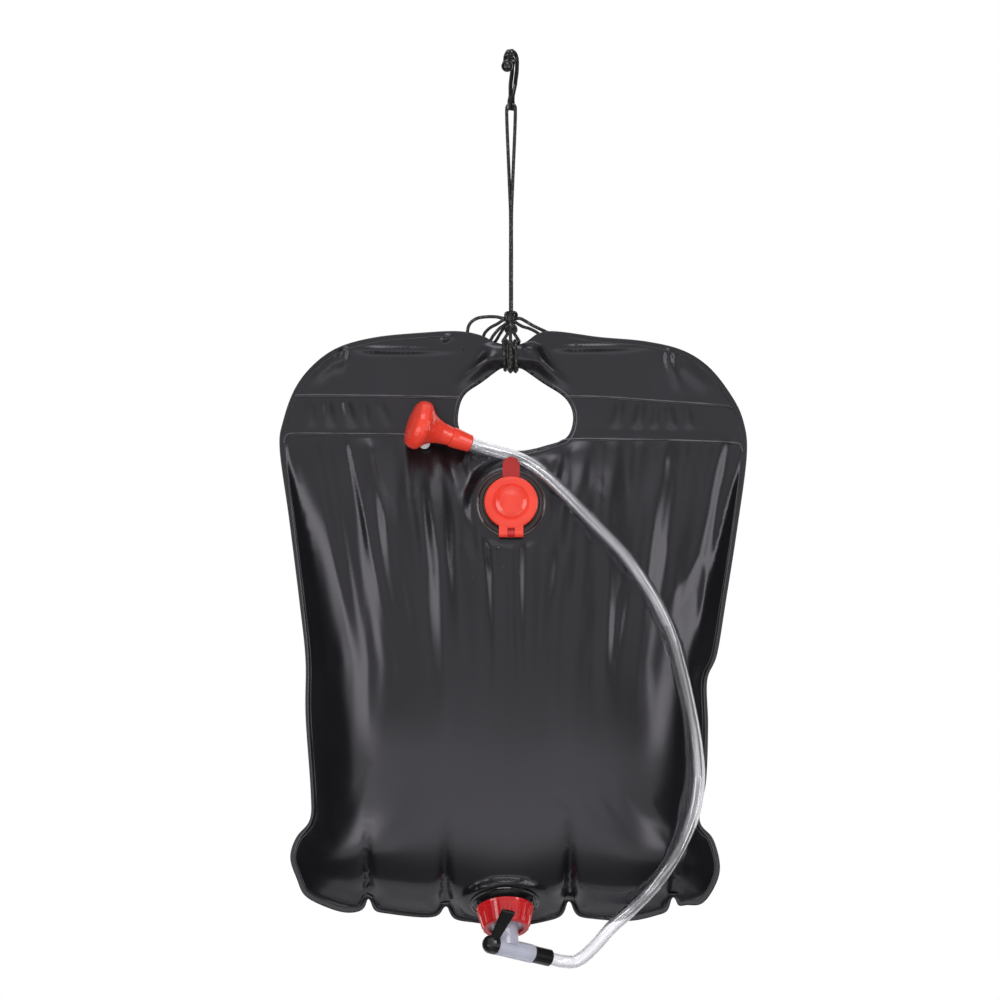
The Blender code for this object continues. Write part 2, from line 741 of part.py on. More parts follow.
def build_filler():
    """Welded flange, neck with its hinge eye, snap lid and hinge pin."""
    outer = NECK_BORE + NECK_WALL
    add("filler_flange", turned(
        "filler_flange", flange_profile(outer + SEAT_GAP, FLANGE_RIDGE_SHARES),
    ), BLACK_PLASTIC, FILLER)

    foot = 2 * SEAT_GAP + FLANGE_THICKNESS
    neck = add("filler_neck", turned("filler_neck", (
        (NECK_BORE, -NECK_INSIDE), (outer, -NECK_INSIDE), (outer, foot),
        (NECK_RIM_RADIUS - LID_SKIRT, foot), (NECK_RIM_RADIUS, foot + LID_SKIRT),
        (NECK_RIM_RADIUS, NECK_RIM_HEIGHT - SEAT_GAP), (NECK_RIM_RADIUS - SEAT_GAP, NECK_RIM_HEIGHT),
        (NECK_BORE + SEAT_GAP, NECK_RIM_HEIGHT), (NECK_BORE, NECK_RIM_HEIGHT - SEAT_GAP),
    )), DEEP_RED, FILLER)
    half = KNUCKLE_INNER - SEAT_GAP
    arm = block(
        "neck_arm", (-half, -HINGE_DROP, HINGE_RISE - KNUCKLE_RADIUS),
        (half, NECK_WALL - NECK_RIM_RADIUS, NECK_RIM_HEIGHT - 2 * SEAT_GAP),
    )
    boolean(neck, helper("neck_arm", arm, FILLER), "UNION")
    across = Matrix.Translation((0, -HINGE_DROP, HINGE_RISE)) @ Matrix.Rotation(math.pi / 2, 4, "Y")
    eye = turned("neck_eye", (
        (0, -half), (KNUCKLE_RADIUS, -half), (KNUCKLE_RADIUS, half), (0, half),
    ), BORE_SIDES)
    boolean(neck, helper("neck_eye", eye, FILLER, across), "UNION")
    hole = PIN_RADIUS + SEAT_GAP
    reach = KNUCKLE_OUTER + OVERRUN
    pin_way = turned("pin_way", ((0, -reach), (hole, -reach), (hole, reach), (0, reach)), BORE_SIDES)
    way = helper("pin_way", pin_way, FILLER, across)
    boolean(neck, way, "DIFFERENCE")

    end = KNUCKLE_OUTER
    bevel = PIN_RADIUS - SEAT_GAP
    add("hinge_pin", turned("hinge_pin", (
        (0, -end), (bevel, -end), (PIN_RADIUS, SEAT_GAP - end), (PIN_RADIUS, end - SEAT_GAP),
        (bevel, end), (0, end),
    ), BORE_SIDES), DEEP_RED, FILLER, across)

    build_lid(way)


def build_lid(way):
    """Snap lid: skirt, crowned rim, recessed dome, tapered plug, lifting tab, two knuckles."""
    hinge = empty("lid_axis", Matrix.Translation((0, -HINGE_DROP, HINGE_RISE)), FILLER)
    top = LID_UNDER + LID_PLATE
    crown = top + LID_RECESS_DEPTH / 2
    skirt_low = NECK_RIM_HEIGHT - 3 * SEAT_GAP
    skirt_inner = LID_RADIUS - LID_SKIRT
    plug = NECK_BORE - PLUG_CLEARANCE
    floor = top - LID_RECESS_DEPTH
    profile = [(0, floor + LID_DOME_HEIGHT)]
    for step in range(1, 5):
        angle = step * math.pi / 8
        profile.append((
            LID_DOME_RADIUS * math.sin(angle), floor + LID_DOME_HEIGHT * math.cos(angle),
        ))
    profile += [
        (LID_RECESS_RADIUS - LID_RECESS_DEPTH, floor), (LID_RECESS_RADIUS, top),
        ((LID_RECESS_RADIUS + LID_RADIUS) / 2, crown), (LID_RADIUS - LID_RECESS_DEPTH, top),
        (LID_RADIUS, top - LID_RECESS_DEPTH), (LID_RADIUS, skirt_low), (skirt_inner, skirt_low),
        (skirt_inner, LID_UNDER), (plug, LID_UNDER), (plug - PLUG_TAPER, PLUG_TIP),
        (plug - PLUG_TAPER - LID_WALL, PLUG_TIP), (plug - LID_WALL, LID_UNDER),
    ]
    for step in range(3, 0, -1):
        angle = step * math.pi / 8
        profile.append((
            (LID_DOME_RADIUS - LID_WALL) * math.sin(angle),
            floor - LID_WALL + LID_DOME_HEIGHT * math.cos(angle),
        ))
    profile.append((0, floor - LID_WALL + LID_DOME_HEIGHT))
    back = Matrix.Translation((0, HINGE_DROP, -HINGE_RISE))
    mesh = turned("filler_lid", profile)
    mesh.transform(back)
    lid = add("filler_lid", mesh, BRIGHT_RED, hinge)

    half = TAB_WIDTH / 2
    far = LID_RADIUS + TAB_LENGTH
    outline = [(-half, LID_RECESS_RADIUS)]
    for step in range(9):
        angle = math.pi - step * math.pi / 8
        outline.append((half * math.cos(angle), far - half + half * math.sin(angle)))
    outline.append((half, LID_RECESS_RADIUS))
    mesh = extruded("lid_tab", outline, top - TAB_THICKNESS, top - SEAT_GAP)
    mesh.transform(back)
    boolean(lid, helper("lid_tab", mesh, hinge), "UNION")

    notch = block(
        "lid_notch", (-KNUCKLE_INNER, -LID_RADIUS - OVERRUN, skirt_low - OVERRUN),
        (KNUCKLE_INNER, -skirt_inner + OVERRUN, LID_UNDER),
    )
    notch.transform(back)
    boolean(lid, helper("lid_notch", notch, hinge), "DIFFERENCE")
    for sign in (-1, 1):
        near, far = sorted((sign * KNUCKLE_INNER, sign * KNUCKLE_OUTER))
        mesh = block(
            f"lid_arm_{near > 0}", (near, -HINGE_DROP, LID_UNDER + SEAT_GAP / 2),
            (far, -LID_RECESS_RADIUS, top - SEAT_GAP / 2),
        )
        mesh.transform(back)
        boolean(lid, helper(f"lid_arm_{near > 0}", mesh, hinge), "UNION")
        knuckle = turned(f"lid_knuckle_{near > 0}", (
            (0, near), (KNUCKLE_RADIUS, near), (KNUCKLE_RADIUS, far), (0, far),
        ), BORE_SIDES)
        turn = Matrix.Rotation(math.pi / 2, 4, "Y")
        boolean(lid, helper(f"lid_knuckle_{near > 0}", knuckle, hinge, turn), "UNION")
    boolean(lid, way, "DIFFERENCE")


def build_outlet():
    """Welded flange with its neck, gasket and ribbed screw cap."""
    low = SEAT_GAP
    high = SEAT_GAP + FLANGE_THICKNESS
    step = high + SPOUT_COLLAR_HEIGHT
    profile = [(SPOUT_BORE, low), (SPOUT_BORE, SPOUT_NECK_HEIGHT),
               (SPOUT_NECK_RADIUS - SEAT_GAP, SPOUT_NECK_HEIGHT),
               (SPOUT_NECK_RADIUS, SPOUT_NECK_HEIGHT - SEAT_GAP), (SPOUT_NECK_RADIUS, step),
               (SPOUT_COLLAR_RADIUS - SEAT_GAP, step), (SPOUT_COLLAR_RADIUS, step - SEAT_GAP),
               (SPOUT_COLLAR_RADIUS, high)]
    profile += flange_profile(SPOUT_BORE, FLANGE_RIDGE_SHARES)[2:]
    add("spout_flange", turned("spout_flange", profile), BLACK_PLASTIC, SPOUT)

    seat = SPOUT_NECK_HEIGHT + SEAT_GAP
    add("cap_gasket", turned("cap_gasket", (
        (SPOUT_BORE, seat), (SPOUT_NECK_RADIUS, seat),
        (SPOUT_NECK_RADIUS, seat + GASKET_THICKNESS), (SPOUT_BORE, seat + GASKET_THICKNESS),
    ), FINE_SIDES), RUBBER, SPOUT)

    inner = SPOUT_NECK_RADIUS + SEAT_GAP
    wall = CAP_FRONT - CAP_FRONT_WALL
    edge = CAP_EDGE
    slope = (CAP_BACK_RADIUS - CAP_FRONT_RADIUS) / (CAP_FRONT - CAP_BACK)
    rim = CAP_BACK + 2 * edge
    rim_radius = CAP_BACK_RADIUS - slope * 2 * edge
    shoulder_radius = CAP_FRONT_RADIUS + slope * edge - CAP_RIB_HEIGHT
    add("screw_cap", turned("screw_cap", (
        (CAP_BACK_RADIUS - edge / 2, CAP_BACK), (CAP_BACK_RADIUS, CAP_BACK + edge / 2),
        (rim_radius, rim), (rim_radius - CAP_RIB_HEIGHT, rim),
        (shoulder_radius, CAP_FRONT - edge), (CAP_FRONT_RADIUS - edge, CAP_FRONT),
        (CAP_MOUTH_RADIUS, CAP_FRONT), (CAP_MOUTH_RADIUS, wall), (inner, wall), (inner, CAP_BACK),
    ), 3 * CAP_RIBS, (CAP_RIBS, CAP_RIB_HEIGHT, (3, 4))), DEEP_RED, SPOUT)


def build_valve():
    """Milky valve body with its barb, the plug with knob and lever, its seal and the collar."""
    seat = SPOUT_NECK_HEIGHT + GASKET_THICKNESS + 2 * SEAT_GAP
    shoulder = seat + SHOULDER_THICKNESS
    body = add("valve_body", turned("valve_body", (
        (0, seat), (SPOUT_NECK_RADIUS - SEAT_GAP, seat), (SPOUT_NECK_RADIUS - SEAT_GAP, shoulder),
        (STEM_RADIUS + SEAT_GAP, shoulder), (STEM_RADIUS, shoulder + SEAT_GAP),
        (STEM_RADIUS, CROSS_DROP), (0, CROSS_DROP),
    ), FINE_SIDES), MILKY, SPOUT)
    edge = COLLAR_EDGE
    neck = CROSS_HOSE_END - edge
    cross = turned("valve_cross", (
        (0, -CROSS_KNOB_END), (CROSS_RADIUS - edge, -CROSS_KNOB_END),
        (CROSS_RADIUS, edge - CROSS_KNOB_END), (CROSS_RADIUS, neck),
        (CROSS_RADIUS - edge, CROSS_HOSE_END), (BARB_RADIUS - edge / 2, CROSS_HOSE_END),
        (BARB_RADIUS - edge / 2, BARB_END - 2 * WATERWAY), (BARB_RADIUS, BARB_END - WATERWAY),
        (WATERWAY + edge, BARB_END), (0, BARB_END),
    ), FINE_SIDES)
    boolean(body, helper("valve_cross", cross, CROSS), "UNION")
    bore = turned("valve_bore", (
        (0, -CROSS_KNOB_END - OVERRUN), (PLUG_BORE, -CROSS_KNOB_END - OVERRUN),
        (PLUG_BORE, PLUG_END + SEAT_GAP), (WATERWAY, PLUG_END + SEAT_GAP),
        (WATERWAY, BARB_END + OVERRUN), (0, BARB_END + OVERRUN),
    ), BORE_SIDES)
    boolean(body, helper("valve_bore", bore, CROSS), "DIFFERENCE")
    inlet = turned("valve_inlet", (
        (0, seat - OVERRUN), (STEM_BORE, seat - OVERRUN), (STEM_BORE, CROSS_DROP), (0, CROSS_DROP),
    ), BORE_SIDES)
    boolean(body, helper("valve_inlet", inlet, SPOUT), "DIFFERENCE")

    face = -CROSS_KNOB_END - SEAT_GAP
    groove = PLUG_RADIUS - 2 * SEAL_RADIUS
    profile = [(0, PLUG_END), (PLUG_RADIUS, PLUG_END),
               (PLUG_RADIUS, SEAL_GROOVE / 2 - SEAL_PLACE), (groove, SEAL_GROOVE / 2 - SEAL_PLACE),
               (groove, -SEAL_GROOVE / 2 - SEAL_PLACE),
               (PLUG_RADIUS, -SEAL_GROOVE / 2 - SEAL_PLACE),
               (PLUG_RADIUS, face), (KNOB_RADIUS - edge, face), (KNOB_RADIUS, face - edge)]
    for step in range(6):
        angle = step * math.pi / 10
        profile.append((
            KNOB_RADIUS * math.cos(angle) if step < 5 else 0,
            -KNOB_CENTRE - KNOB_RADIUS * math.sin(angle),
        ))
    lever = add("valve_lever", turned("valve_lever", profile, FINE_SIDES), BLACK_PLASTIC, CROSS)
    arm_dir = Vector((math.cos(LEVER_ANGLE), math.sin(LEVER_ANGLE), 0))
    arm_side = Vector((0, 0, 1)).cross(arm_dir)
    rings = []
    for share in (0.0, 0.25, 0.97, 1.0):
        width = LEVER_ROOT_WIDTH + (LEVER_TIP_WIDTH - LEVER_ROOT_WIDTH) * share
        thickness = LEVER_THICKNESS
        if share == 1.0:
            width -= LEVER_CHAMFER
            thickness -= LEVER_CHAMFER
        centre = Vector((0, 0, -KNOB_CENTRE)) + arm_dir * LEVER_LENGTH * share
        rings.append([
            centre + Vector((0, 0, a)) + arm_side * b
            for a, b in cut_rectangle(width, thickness, LEVER_CHAMFER)
        ])
    boolean(lever, helper("lever_arm", lofted("lever_arm", rings), CROSS), "UNION")
    port = turned("plug_port", (
        (0, 0), (WATERWAY, 0), (WATERWAY, PLUG_END + OVERRUN), (0, PLUG_END + OVERRUN),
    ), BORE_SIDES)
    boolean(lever, helper("plug_port", port, CROSS), "DIFFERENCE")
    side = turned("side_port", (
        (0, 0), (WATERWAY, 0), (WATERWAY, PLUG_RADIUS + OVERRUN), (0, PLUG_RADIUS + OVERRUN),
    ), BORE_SIDES)
    side_turn = Matrix.Rotation(math.pi / 2, 4, "X")
    boolean(lever, helper("side_port", side, CROSS, side_turn), "DIFFERENCE")

    ring = []
    for step in range(8):
        angle = math.tau * step / 8
        ring.append((
            groove + SEAL_RADIUS + SEAT_GAP / 2 + SEAL_RADIUS * math.cos(angle),
            SEAL_RADIUS * math.sin(angle) - SEAL_PLACE,
        ))
    add("plug_seal", turned("plug_seal", ring, BORE_SIDES), RUBBER, CROSS)

    start = CROSS_HOSE_END + SEAT_GAP
    bore = BARB_RADIUS + SEAT_GAP
    add("hose_collar", turned("hose_collar", (
        (COLLAR_RADIUS - edge, start), (COLLAR_RADIUS, start + edge),
        (COLLAR_RADIUS, COLLAR_END - edge), (COLLAR_RADIUS - edge, COLLAR_END),
        (WATERWAY, COLLAR_END), (WATERWAY, BARB_END + SEAT_GAP), (bore, BARB_END + SEAT_GAP),
        (bore, start),
    ), FINE_SIDES), BLACK_PLASTIC, CROSS)


def build_head():
    """Trumpet-shaped bell, spray plate with its holes, hose sleeve and the clip on the bag."""
    # Shares of the bell's radius and length, from the rim back to the neck
    flare_shares = (
        (0.905, 0.090), (0.980, 0.170), (1.0, 0.260), (0.965, 0.335), (0.850, 0.400),
        (0.690, 0.475), (0.545, 0.590), (0.440, 0.760),
    )
    rim = PLATE_RADIUS + SEAT_GAP
    seat = PLATE_CROWN + PLATE_REBATE
    bore = HEAD_BORE
    profile = [(rim, PLATE_CROWN)]
    profile += [(r * BELL_RADIUS, t * BELL_LENGTH) for r, t in flare_shares]
    spigot_end = BELL_LENGTH + SPIGOT_LENGTH
    profile += [(BELL_NECK_RADIUS, BELL_LENGTH), (SPIGOT_RADIUS, BELL_LENGTH),
                (SPIGOT_RADIUS, spigot_end), (bore, spigot_end)]
    for r, t in flare_shares[:3:-1]:
        profile.append((max(r * BELL_RADIUS - BELL_WALL, bore), t * BELL_LENGTH))
    profile += [(rim - BELL_WALL, seat + BELL_WALL), (rim - BELL_WALL, seat), (rim, seat)]
    add("head_bell", turned("head_bell", profile), BRIGHT_RED, HEAD)

    outer = []
    inner = []
    for share in (0.0, 0.5, 1.0):
        height = PLATE_CROWN * share * share
        outer.append((PLATE_RADIUS * share, height))
        inner.append((PLATE_RADIUS * share, height + PLATE_THICKNESS))
    plate = add("spray_plate", turned("spray_plate", outer + inner[::-1], FINE_SIDES), BRIGHT_RED, HEAD)
    bm = bmesh.new()
    for count, radius in SPRAY_RINGS:
        for place in range(count):
            angle = math.tau * place / count
            spot = Matrix.Translation((radius * math.cos(angle), radius * math.sin(angle), seat / 2))
            bmesh.ops.create_cone(
                bm, cap_ends=True, segments=6, radius1=SPRAY_HOLE, radius2=SPRAY_HOLE,
                depth=2 * seat, matrix=spot,
            )
    boolean(plate, helper("spray_holes", mesh_from(bm, "spray_holes"), HEAD), "DIFFERENCE")

    start = BELL_LENGTH + SEAT_GAP
    step = BELL_LENGTH + SPIGOT_LENGTH + SEAT_GAP
    socket = SPIGOT_RADIUS + SEAT_GAP
    edge = SLEEVE_EDGE
    add("head_sleeve", turned("head_sleeve", (
        (socket, start), (SLEEVE_RADIUS - edge, start), (SLEEVE_RADIUS, start + edge),
        (SLEEVE_RADIUS, step), (SLEEVE_END_RADIUS, HEAD_LENGTH - edge),
        (SLEEVE_END_RADIUS - edge, HEAD_LENGTH), (bore, HEAD_LENGTH), (bore, step), (socket, step),
    ), FINE_SIDES), BRIGHT_RED, HEAD)

    # The clip stands on the film under the flare, so its place follows the bell's size
    along = CLIP_ALONG_SHARE * BELL_LENGTH
    clip_spot = (
        HEAD_AXIS[0] * along - HEAD_ASIDE - CLIP_ASIDE_SHARE * BELL_RADIUS, -CLIP_DEPTH,
        HEAD_AXIS[2] * along + TOP_Z - HEAD_DROP - CLIP_DOWN_SHARE * BELL_RADIUS,
    )
    tip = CLIP_BASE_HEIGHT + CLIP_PEG_HEIGHT
    add("head_clip", turned("head_clip", (
        (0, 0), (CLIP_BASE_RADIUS, 0), (CLIP_BASE_RADIUS, CLIP_BASE_HEIGHT),
        (CLIP_PEG_RADIUS, CLIP_BASE_HEIGHT), (CLIP_PEG_RADIUS, tip - CLIP_EDGE),
        (CLIP_PEG_RADIUS - CLIP_EDGE, tip), (0, tip),
    ), BORE_SIDES), WHITE, None, toward((0, -1, 0), clip_spot))


def build_hook():
    """Plastic hook: ball tip, round arch, slanting shank and an eye for the cord."""
    swing = HOOK_INNER_RADIUS + HOOK_BAR / 2
    arch = -HOOK_INNER_RADIUS
    # Stations along the hook: place in its plane, direction, width and thickness
    stations = [(swing, -HOOK_TIP_DROP, math.pi, HOOK_BAR, HOOK_THICKNESS)]
    for step in range(9):
        angle = step * math.pi / 8
        stations.append((
            swing * math.cos(angle), arch + swing * math.sin(angle), math.pi - angle, HOOK_BAR,
            HOOK_THICKNESS,
        ))
    shank_shares = ((0.85, 0.30, 0.9, 1.0), (0.45, 0.55, 0.85, 1.0), (0.14, 0.76, 0.9, 0.9))
    for aside, drop, wide, thick in shank_shares:
        stations.append((
            -aside * swing, -drop * EYE_DROP, 0.0, wide * EYE_WIDTH * 0.62, thick * HOOK_THICKNESS,
        ))
    eye_shares = ((0.84, 0.92), (0.90, 1.0), (1.0, 0.96))
    for drop, wide in eye_shares:
        stations.append((0, -drop * EYE_DROP, 0.0, wide * EYE_WIDTH, EYE_THICKNESS))
    foot = EYE_DROP + EYE_BAR_HEIGHT / 2
    stations.append((0, -foot, 0.0, 0.7 * EYE_WIDTH, EYE_THICKNESS - HOOK_CHAMFER))
    rings = []
    for aside, height, angle, width, thickness in stations:
        across = Vector((math.cos(angle), 0, -math.sin(angle)))
        chamfer = min(HOOK_CHAMFER, thickness / 3)
        rings.append([
            Vector((aside, 0, height)) + across * a + Vector((0, b, 0))
            for a, b in cut_rectangle(width, thickness, chamfer)
        ])
    turn = Matrix.Rotation(-math.pi / 2 - HOOK_TURN, 4, "Z")
    hook = add("hook", lofted("hook", rings), BLACK_PLASTIC, None, turn)
    bm = bmesh.new()
    bmesh.ops.create_uvsphere(bm, u_segments=16, v_segments=10, radius=HOOK_BALL_RADIUS)
    ball = Matrix.Translation((swing, 0, -HOOK_TIP_DROP))
    boolean(hook, helper("hook_ball", mesh_from(bm, "hook_ball"), None, turn @ ball), "UNION")
    half = EYE_HOLE_WIDTH / 2
    low = EYE_BAR_HEIGHT / 2 - EYE_DROP
    high = low + EYE_HOLE_HEIGHT
    outline = [(-half, low)]
    for step in range(7):
        angle = math.pi - step * math.pi / 6
        outline.append((half * math.cos(angle), high - half + half * math.sin(angle)))
    outline.append((half, low))
    reach = HOOK_THICKNESS
    eye = extruded("hook_eye", outline, -reach, reach, "Y")
    boolean(hook, helper("hook_eye", eye, None, turn), "DIFFERENCE")


def build_cord():
    """The doubled cord through the hook's eye, its knot, the bow and the turns on the band."""
    across = Vector((math.cos(HOOK_TURN), -math.sin(HOOK_TURN), 0))
    end = KNOT_RADIUS + SEAT_GAP - KNOT_DROP
    span = end + EYE_DROP
    right = []
    for share in (0.0, 0.2, 0.42):
        right.append(Vector((STRAND_OFFSET, 0, end - span * share)))
    for share, out in ((0.62, 0.3), (0.80, 0.7)):
        spot = Vector((STRAND_OFFSET, 0, 0)).lerp(across * CORD_EYE_RADIUS, out)
        right.append(Vector((spot.x, spot.y, end - span * share)))
    right.append(across * CORD_EYE_RADIUS + Vector((0, 0, end - span * 0.96)))
    route = list(right)
    for step in range(7):
        angle = step * math.pi / 6
        route.append(
            across * CORD_EYE_RADIUS * math.cos(angle)
            + Vector((0, 0, CORD_EYE_RADIUS * math.sin(angle) - EYE_DROP))
        )
    for point in reversed(right):
        route.append(Vector((-point.x, -point.y, point.z)))
    tube("hanging_cord", spline(route, 2), CORD, 2, BLACK_CORD)

    grooves = 3
    profile = [(0, -KNOT_RADIUS)]
    steps = 8 * grooves // 2
    for step in range(1, steps):
        angle = math.pi * step / steps
        dent = KNOT_GROOVE * (1 - math.cos(math.tau * grooves * step / steps)) / 2
        radius = KNOT_RADIUS - KNOT_GROOVE + dent
        profile.append((radius * math.sin(angle), -KNOT_RADIUS * math.cos(angle)))
    profile.append((0, KNOT_RADIUS))
    knot_place = Matrix.Translation((0, 0, -KNOT_DROP))
    add("cord_knot", turned("cord_knot", profile, BORE_SIDES), BLACK_CORD, None, knot_place)

    for name, route in BOW_ROUTES.items():
        given = [Vector(point) for point in route]
        start = given[0].normalized()
        end = given[-1].normalized()
        near = KNOT_RADIUS + SEAT_GAP
        bend = [start * near, start * (near + CORD)] + given[1:-1]
        bend += [end * (near + CORD), end * near]
        placed = [point - Vector((0, 0, KNOT_DROP)) for point in bend]
        tube(name, spline(placed, 2), CORD, 1, BLACK_CORD)

    build_wraps()


def build_wraps():
    """Turns of cord round the gathered band, with both ends up to the knot, as one tube."""
    deep = BAND_HALF_DEPTH - FILM + SEAT_GAP / 2
    tall = BAND_HALF_HEIGHT
    off = FILM + 2 * SEAT_GAP + CORD / 2
    width = WRAP_TURNS * WRAP_PITCH
    turns = []
    steps = 24 * WRAP_TURNS
    for step in range(steps + 1):
        angle = math.tau * step / 24
        across = -math.sin(angle)
        up = math.cos(angle)
        normal = Vector((across / deep, up / tall)).normalized()
        turns.append(Vector((
            width * (step / steps - 0.5),
            deep * across + off * normal.x,
            tall * up + off * normal.y - BAND_DROP,
        )))
    knot_low = -KNOT_DROP - KNOT_RADIUS - SEAT_GAP
    start = Vector((-STRAND_OFFSET, 0, knot_low))
    end = Vector((STRAND_OFFSET, 0, knot_low))
    rise = knot_low + BAND_DROP - tall - off
    lead_in = [start, start - Vector((0, 0, rise / 3))]
    lead_out = [end - Vector((0, 0, rise / 3)), end]
    points = lead_in + turns + lead_out
    tube("cord_wraps", points, CORD, 1, BLACK_CORD)
    gaps = []
    for index, near in enumerate(points):
        for far in points[index + 14:]:
            gaps.append((far - near).length - CORD)
    print("cord_wraps: least gap to itself", round(min(gaps) * 1000, 2), "mm")


def build_hose():
    """Clear hose from the valve's collar up the front of the bag to the head's sleeve."""
    route = []
    for share in (0.0, 0.5, 1.0):
        route.append(CROSS.matrix_world @ Vector((0, 0, COLLAR_END + SEAT_GAP + HOSE * share)))
    for across, out, down in HOSE_ROUTE_SHARES:
        route.append(Vector((
            across * BAG_WIDTH / 2, -out * FRONT_DEPTH, TOP_Z - down * BAG_HEIGHT,
        )))
    for share in (1.0, 0.5, 0.0):
        route.append(HEAD.matrix_world @ Vector((0, 0, HEAD_LENGTH + SEAT_GAP + HOSE * share)))
    points = spline(route, 2)
    length = sum((far - near).length for near, far in zip(points, points[1:]))
    print("hose length", round(length, 4), "m")
    hose = tube("hose", points, HOSE, 3, CLEAR)
    hose.data.use_fill_caps = False
    wall = hose.modifiers.new("hose_wall", "SOLIDIFY")
    wall.thickness = HOSE_WALL
    wall.offset = -1


build_bag()
build_filler()
build_outlet()
build_valve()
build_head()
build_hook()
build_cord()
build_hose()
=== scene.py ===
# %% [markdown]
# # A camp shower bag, dressed for its portrait
# The solid model of the bag, its fittings, cord and hose is already made and packed. This lesson
# loads it as a fixed frame, lights it, gives every moulded piece its finish, and replaces the plain
# soft solids (film, cord, hose) with detailed ones that lie in the same places.

# %% Load the solid model
import json
import math

import bmesh
import bpy
import numpy as np
from mathutils import Matrix, Vector, noise
from mathutils.bvhtree import BVHTree
from mathutils.geometry import delaunay_2d_cdt


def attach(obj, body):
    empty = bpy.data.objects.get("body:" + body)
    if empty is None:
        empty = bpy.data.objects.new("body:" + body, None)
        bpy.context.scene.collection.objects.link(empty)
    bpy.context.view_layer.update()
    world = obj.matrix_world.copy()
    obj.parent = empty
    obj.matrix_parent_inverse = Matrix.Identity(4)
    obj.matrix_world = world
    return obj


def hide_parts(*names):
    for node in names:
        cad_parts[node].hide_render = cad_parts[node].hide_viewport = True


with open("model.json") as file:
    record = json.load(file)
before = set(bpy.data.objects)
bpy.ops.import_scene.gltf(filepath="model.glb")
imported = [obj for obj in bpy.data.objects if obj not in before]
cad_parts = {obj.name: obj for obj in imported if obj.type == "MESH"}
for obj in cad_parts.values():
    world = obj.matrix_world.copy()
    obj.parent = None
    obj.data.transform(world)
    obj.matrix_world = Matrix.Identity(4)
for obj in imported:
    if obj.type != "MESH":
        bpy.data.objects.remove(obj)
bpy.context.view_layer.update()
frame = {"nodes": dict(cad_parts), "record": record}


def add_object(name, data):
    """A new object in the scene."""
    made = bpy.data.objects.new(name, data)
    bpy.context.scene.collection.objects.link(made)
    return made


# %% [markdown]
# ## Camera
# The bag was photographed straight from the front and from far away, so its sides hardly converge.
# A long lens four metres off gives the same flat look. The picture is square, and 1000 pixels cover
# 0.88 m at the bag, which sets the lens: sensor width times distance over picture width.

# %% Camera
PICTURE_WIDTH = 0.88
CAMERA_DISTANCE = 4.0
camera_data = bpy.data.cameras.new("portrait_camera")
camera_data.sensor_width = 36.0
camera_data.lens = 36.0 * CAMERA_DISTANCE / PICTURE_WIDTH
camera = add_object("portrait_camera", camera_data)
camera.location = (-0.0097, -CAMERA_DISTANCE, -0.3916)
camera.rotation_euler = (math.pi / 2, 0, 0)
bpy.context.scene.camera = camera
bpy.context.scene.view_settings.view_transform = "Standard"
print("lens", round(camera_data.lens, 1), "mm")

# %% [markdown]
# ## Hands that make meshes
# Cords, welds and folds all follow given points. A Catmull-Rom curve runs through those
# points and gives a smooth path; a swept ring then turns the path into a tube. Two frames that turn
# as little as possible from step to step keep the tube from twisting.

# %% Smooth curves and swept rings
def through(points, steps, closed=False):
    """Points of a smooth curve through the given points."""
    given = [Vector(point) for point in points]
    if closed:
        row = [given[-1]] + given + given[:2]
        spans = len(given)
    else:
        row = [given[0] * 2 - given[1]] + given + [given[-1] * 2 - given[-2]]
        spans = len(given) - 1
    curve = []
    for span in range(spans):
        a, b, c, d = row[span:span + 4]
        for step in range(steps):
            t = step / steps
            curve.append((b * 2 + (c - a) * t + (a * 2 - b * 5 + c * 4 - d) * t * t
                          + (b * 3 - a - c * 3 + d) * t * t * t) / 2)
    if not closed:
        curve.append(given[-1].copy())
    return curve


def evenly(points, step):
    """The same path with points at even spacing."""
    lengths = [0.0]
    for near, far in zip(points, points[1:]):
        lengths.append(lengths[-1] + (far - near).length)
    count = max(round(lengths[-1] / step), 2)
    made = []
    index = 1
    for place in range(count + 1):
        goal = lengths[-1] * place / count
        while index < len(lengths) - 1 and lengths[index] < goal:
            index += 1
        span = lengths[index] - lengths[index - 1]
        part = (goal - lengths[index - 1]) / span if span else 0.0
        made.append(points[index - 1].lerp(points[index], part))
    return made


def length_of(points):
    """Length of a path."""
    return sum((far - near).length for near, far in zip(points, points[1:]))


def carried_frames(points):
    """Two directions across a path at each point, turned as little as possible."""
    count = len(points)
    along = [(points[min(i + 1, count - 1)] - points[max(i - 1, 0)]).normalized() for i in range(count)]
    side = along[0].orthogonal().normalized()
    frames = []
    for index in range(count):
        if index:
            side = along[index - 1].rotation_difference(along[index]) @ side
        side = (side - along[index] * side.dot(along[index])).normalized()
        frames.append((side, along[index].cross(side)))
    return frames


def link_mesh(name, bm, finish, body, smooth_angle=None):
    """Turn a bmesh into a shown piece with its finish, riding on a body."""
    bmesh.ops.recalc_face_normals(bm, faces=bm.faces)
    mesh = bpy.data.meshes.new(name)
    bm.to_mesh(mesh)
    bm.free()
    mesh.shade_smooth()
    if smooth_angle:
        mesh.set_sharp_from_angle(angle=math.radians(smooth_angle))
    mesh.materials.append(finish)
    piece = add_object(name, mesh)
    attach(piece, body)
    return piece


def bridge(bm, near, far, closed=True):
    """Faces between two rows of corners."""
    for side in range(len(near) if closed else len(near) - 1):
        after = (side + 1) % len(near)
        bm.faces.new((near[side], near[after], far[after], far[side]))


def ring_round(bm, point, directions, reaches):
    """Corners round a point of a path, each at its own reach."""
    u, v = directions
    ring = []
    for side, reach in enumerate(reaches):
        angle = math.tau * side / len(reaches)
        ring.append(bm.verts.new(point + (u * math.cos(angle) + v * math.sin(angle)) * reach))
    return ring


